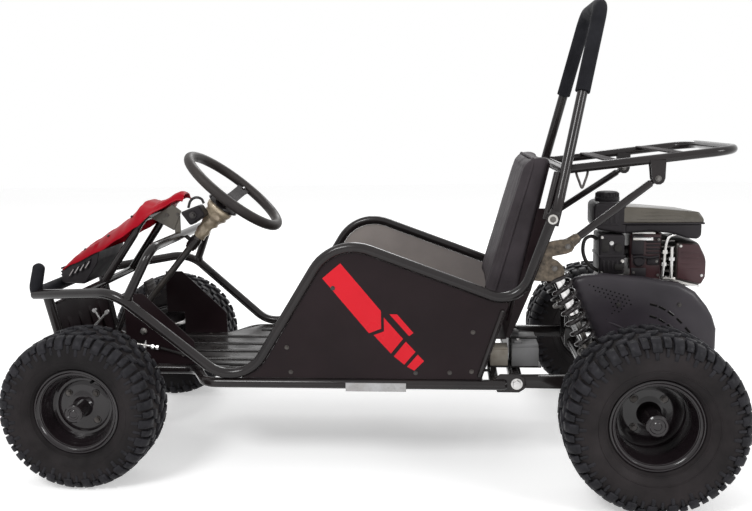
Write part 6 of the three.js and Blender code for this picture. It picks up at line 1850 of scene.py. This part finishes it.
rings = [guardRing(share, y) for share, y in guard["rings"]]
inside = [guardRing(share, y) for share, y in guard["inside"]]
for first, second in [*zip(rings, rings[1:]), *zip(inside, inside[1:]), (inside[-1], rings[0])]:
    bmesh.ops.bridge_loops(bm, edges=first + second)
for last in (rings[-1], inside[0]):
    bmesh.ops.holes_fill(bm, edges=last, sides=0)
addPiece("drive_guard", "guardPlastic", "swing_arm", sharp=40)


def insideRing(x, z, share):
    points = guardOutline(share)
    return all(
        (b - x1) * (z - z1) >= (c - z1) * (x - x1) for (x1, z1), (b, c) in zip(points, points[1:] + points[:1])
    )


# the cover's height over a place on its face, read from the same rings
def guardFace(x, z):
    share = 1.0
    while share > 0.06 and insideRing(x, z, share):
        share -= 0.02
    levels = sorted(guard["rings"][1:])
    for (low, lowY), (high, highY) in zip(levels, levels[1:]):
        if low <= share <= high:
            return lowY + (highY - lowY) * (share - low) / (high - low)
    return levels[0][1] if share < levels[0][0] else levels[-1][1]


# the dots and the slots are flat dark marks on the cover: painted shade for its perforations and slots
dots = guard["dots"]
for row in range(dots["rows"]):
    for k in range(dots["columns"]):
        x = dots["first"][0] + dots["step"] * k + dots["slant"][0] * row
        z = dots["first"][1] - dots["step"] * row - dots["slant"][1] * k
        if x <= 0.575 - 0.008 * row:
            y = guardFace(x, z)
            addAcross(x, z, y + 0.001, y - 0.0003, 0.0018, 8)
# each slot's place, the way it runs and the way across it
slots = []
for row, (lift, count) in enumerate(guard["slots"]):
    for k in range(count):
        share = 0.1 + 0.16 * k + 0.05 * row
        x = 0.6 + 0.112 * share - lift * 0.25
        z = 0.386 - lift - 0.088 * share * share - 0.01 * share
        way = Vector((0.112, 0, -0.01 - 0.176 * share)).normalized()
        slots.append((Vector((x, guardFace(x, z), z)), way, Vector((-way.z, 0, way.x))))
for place, way, out in slots:
    corners = [(-0.0075, -0.0016), (0.0075, -0.0016), (0.0085, 0.0016), (-0.0065, 0.0016)]
    slot = [(place.x + way.x * a + out.x * b, place.z + way.z * a + out.z * b) for a, b in corners]
    addPlate(slot, place.y + 0.001, place.y - 0.0005)
addPiece("guard_hole_shade", "paintedShadeAndValveBlack", "swing_arm")
for place, way, out in slots:
    lip = place + out * 0.0026 - Vector((0, 0.0006, 0))
    addRod(lip - way * 0.0072, lip + way * 0.0082, 0.0011, 8)
addPiece("guard_lips", "glossBlack", "swing_arm")
for points in guard["ribs"]:
    path = [(x, guardFace(x, z) + 0.0006, z) for x, z in points]
    sweep(softLine(path, 8), 0.0022, 8)
addPiece("guard_ribs", "guardPlastic", "swing_arm")
for x, z in engine["posts"] + guard["lowBolts"]:
    addBolt((x, guardFace(x, z), z), (0, -1, 0), 0.0042)
addPiece("guard_bolts", "darkSteel", "swing_arm")
print("drive guard ready")
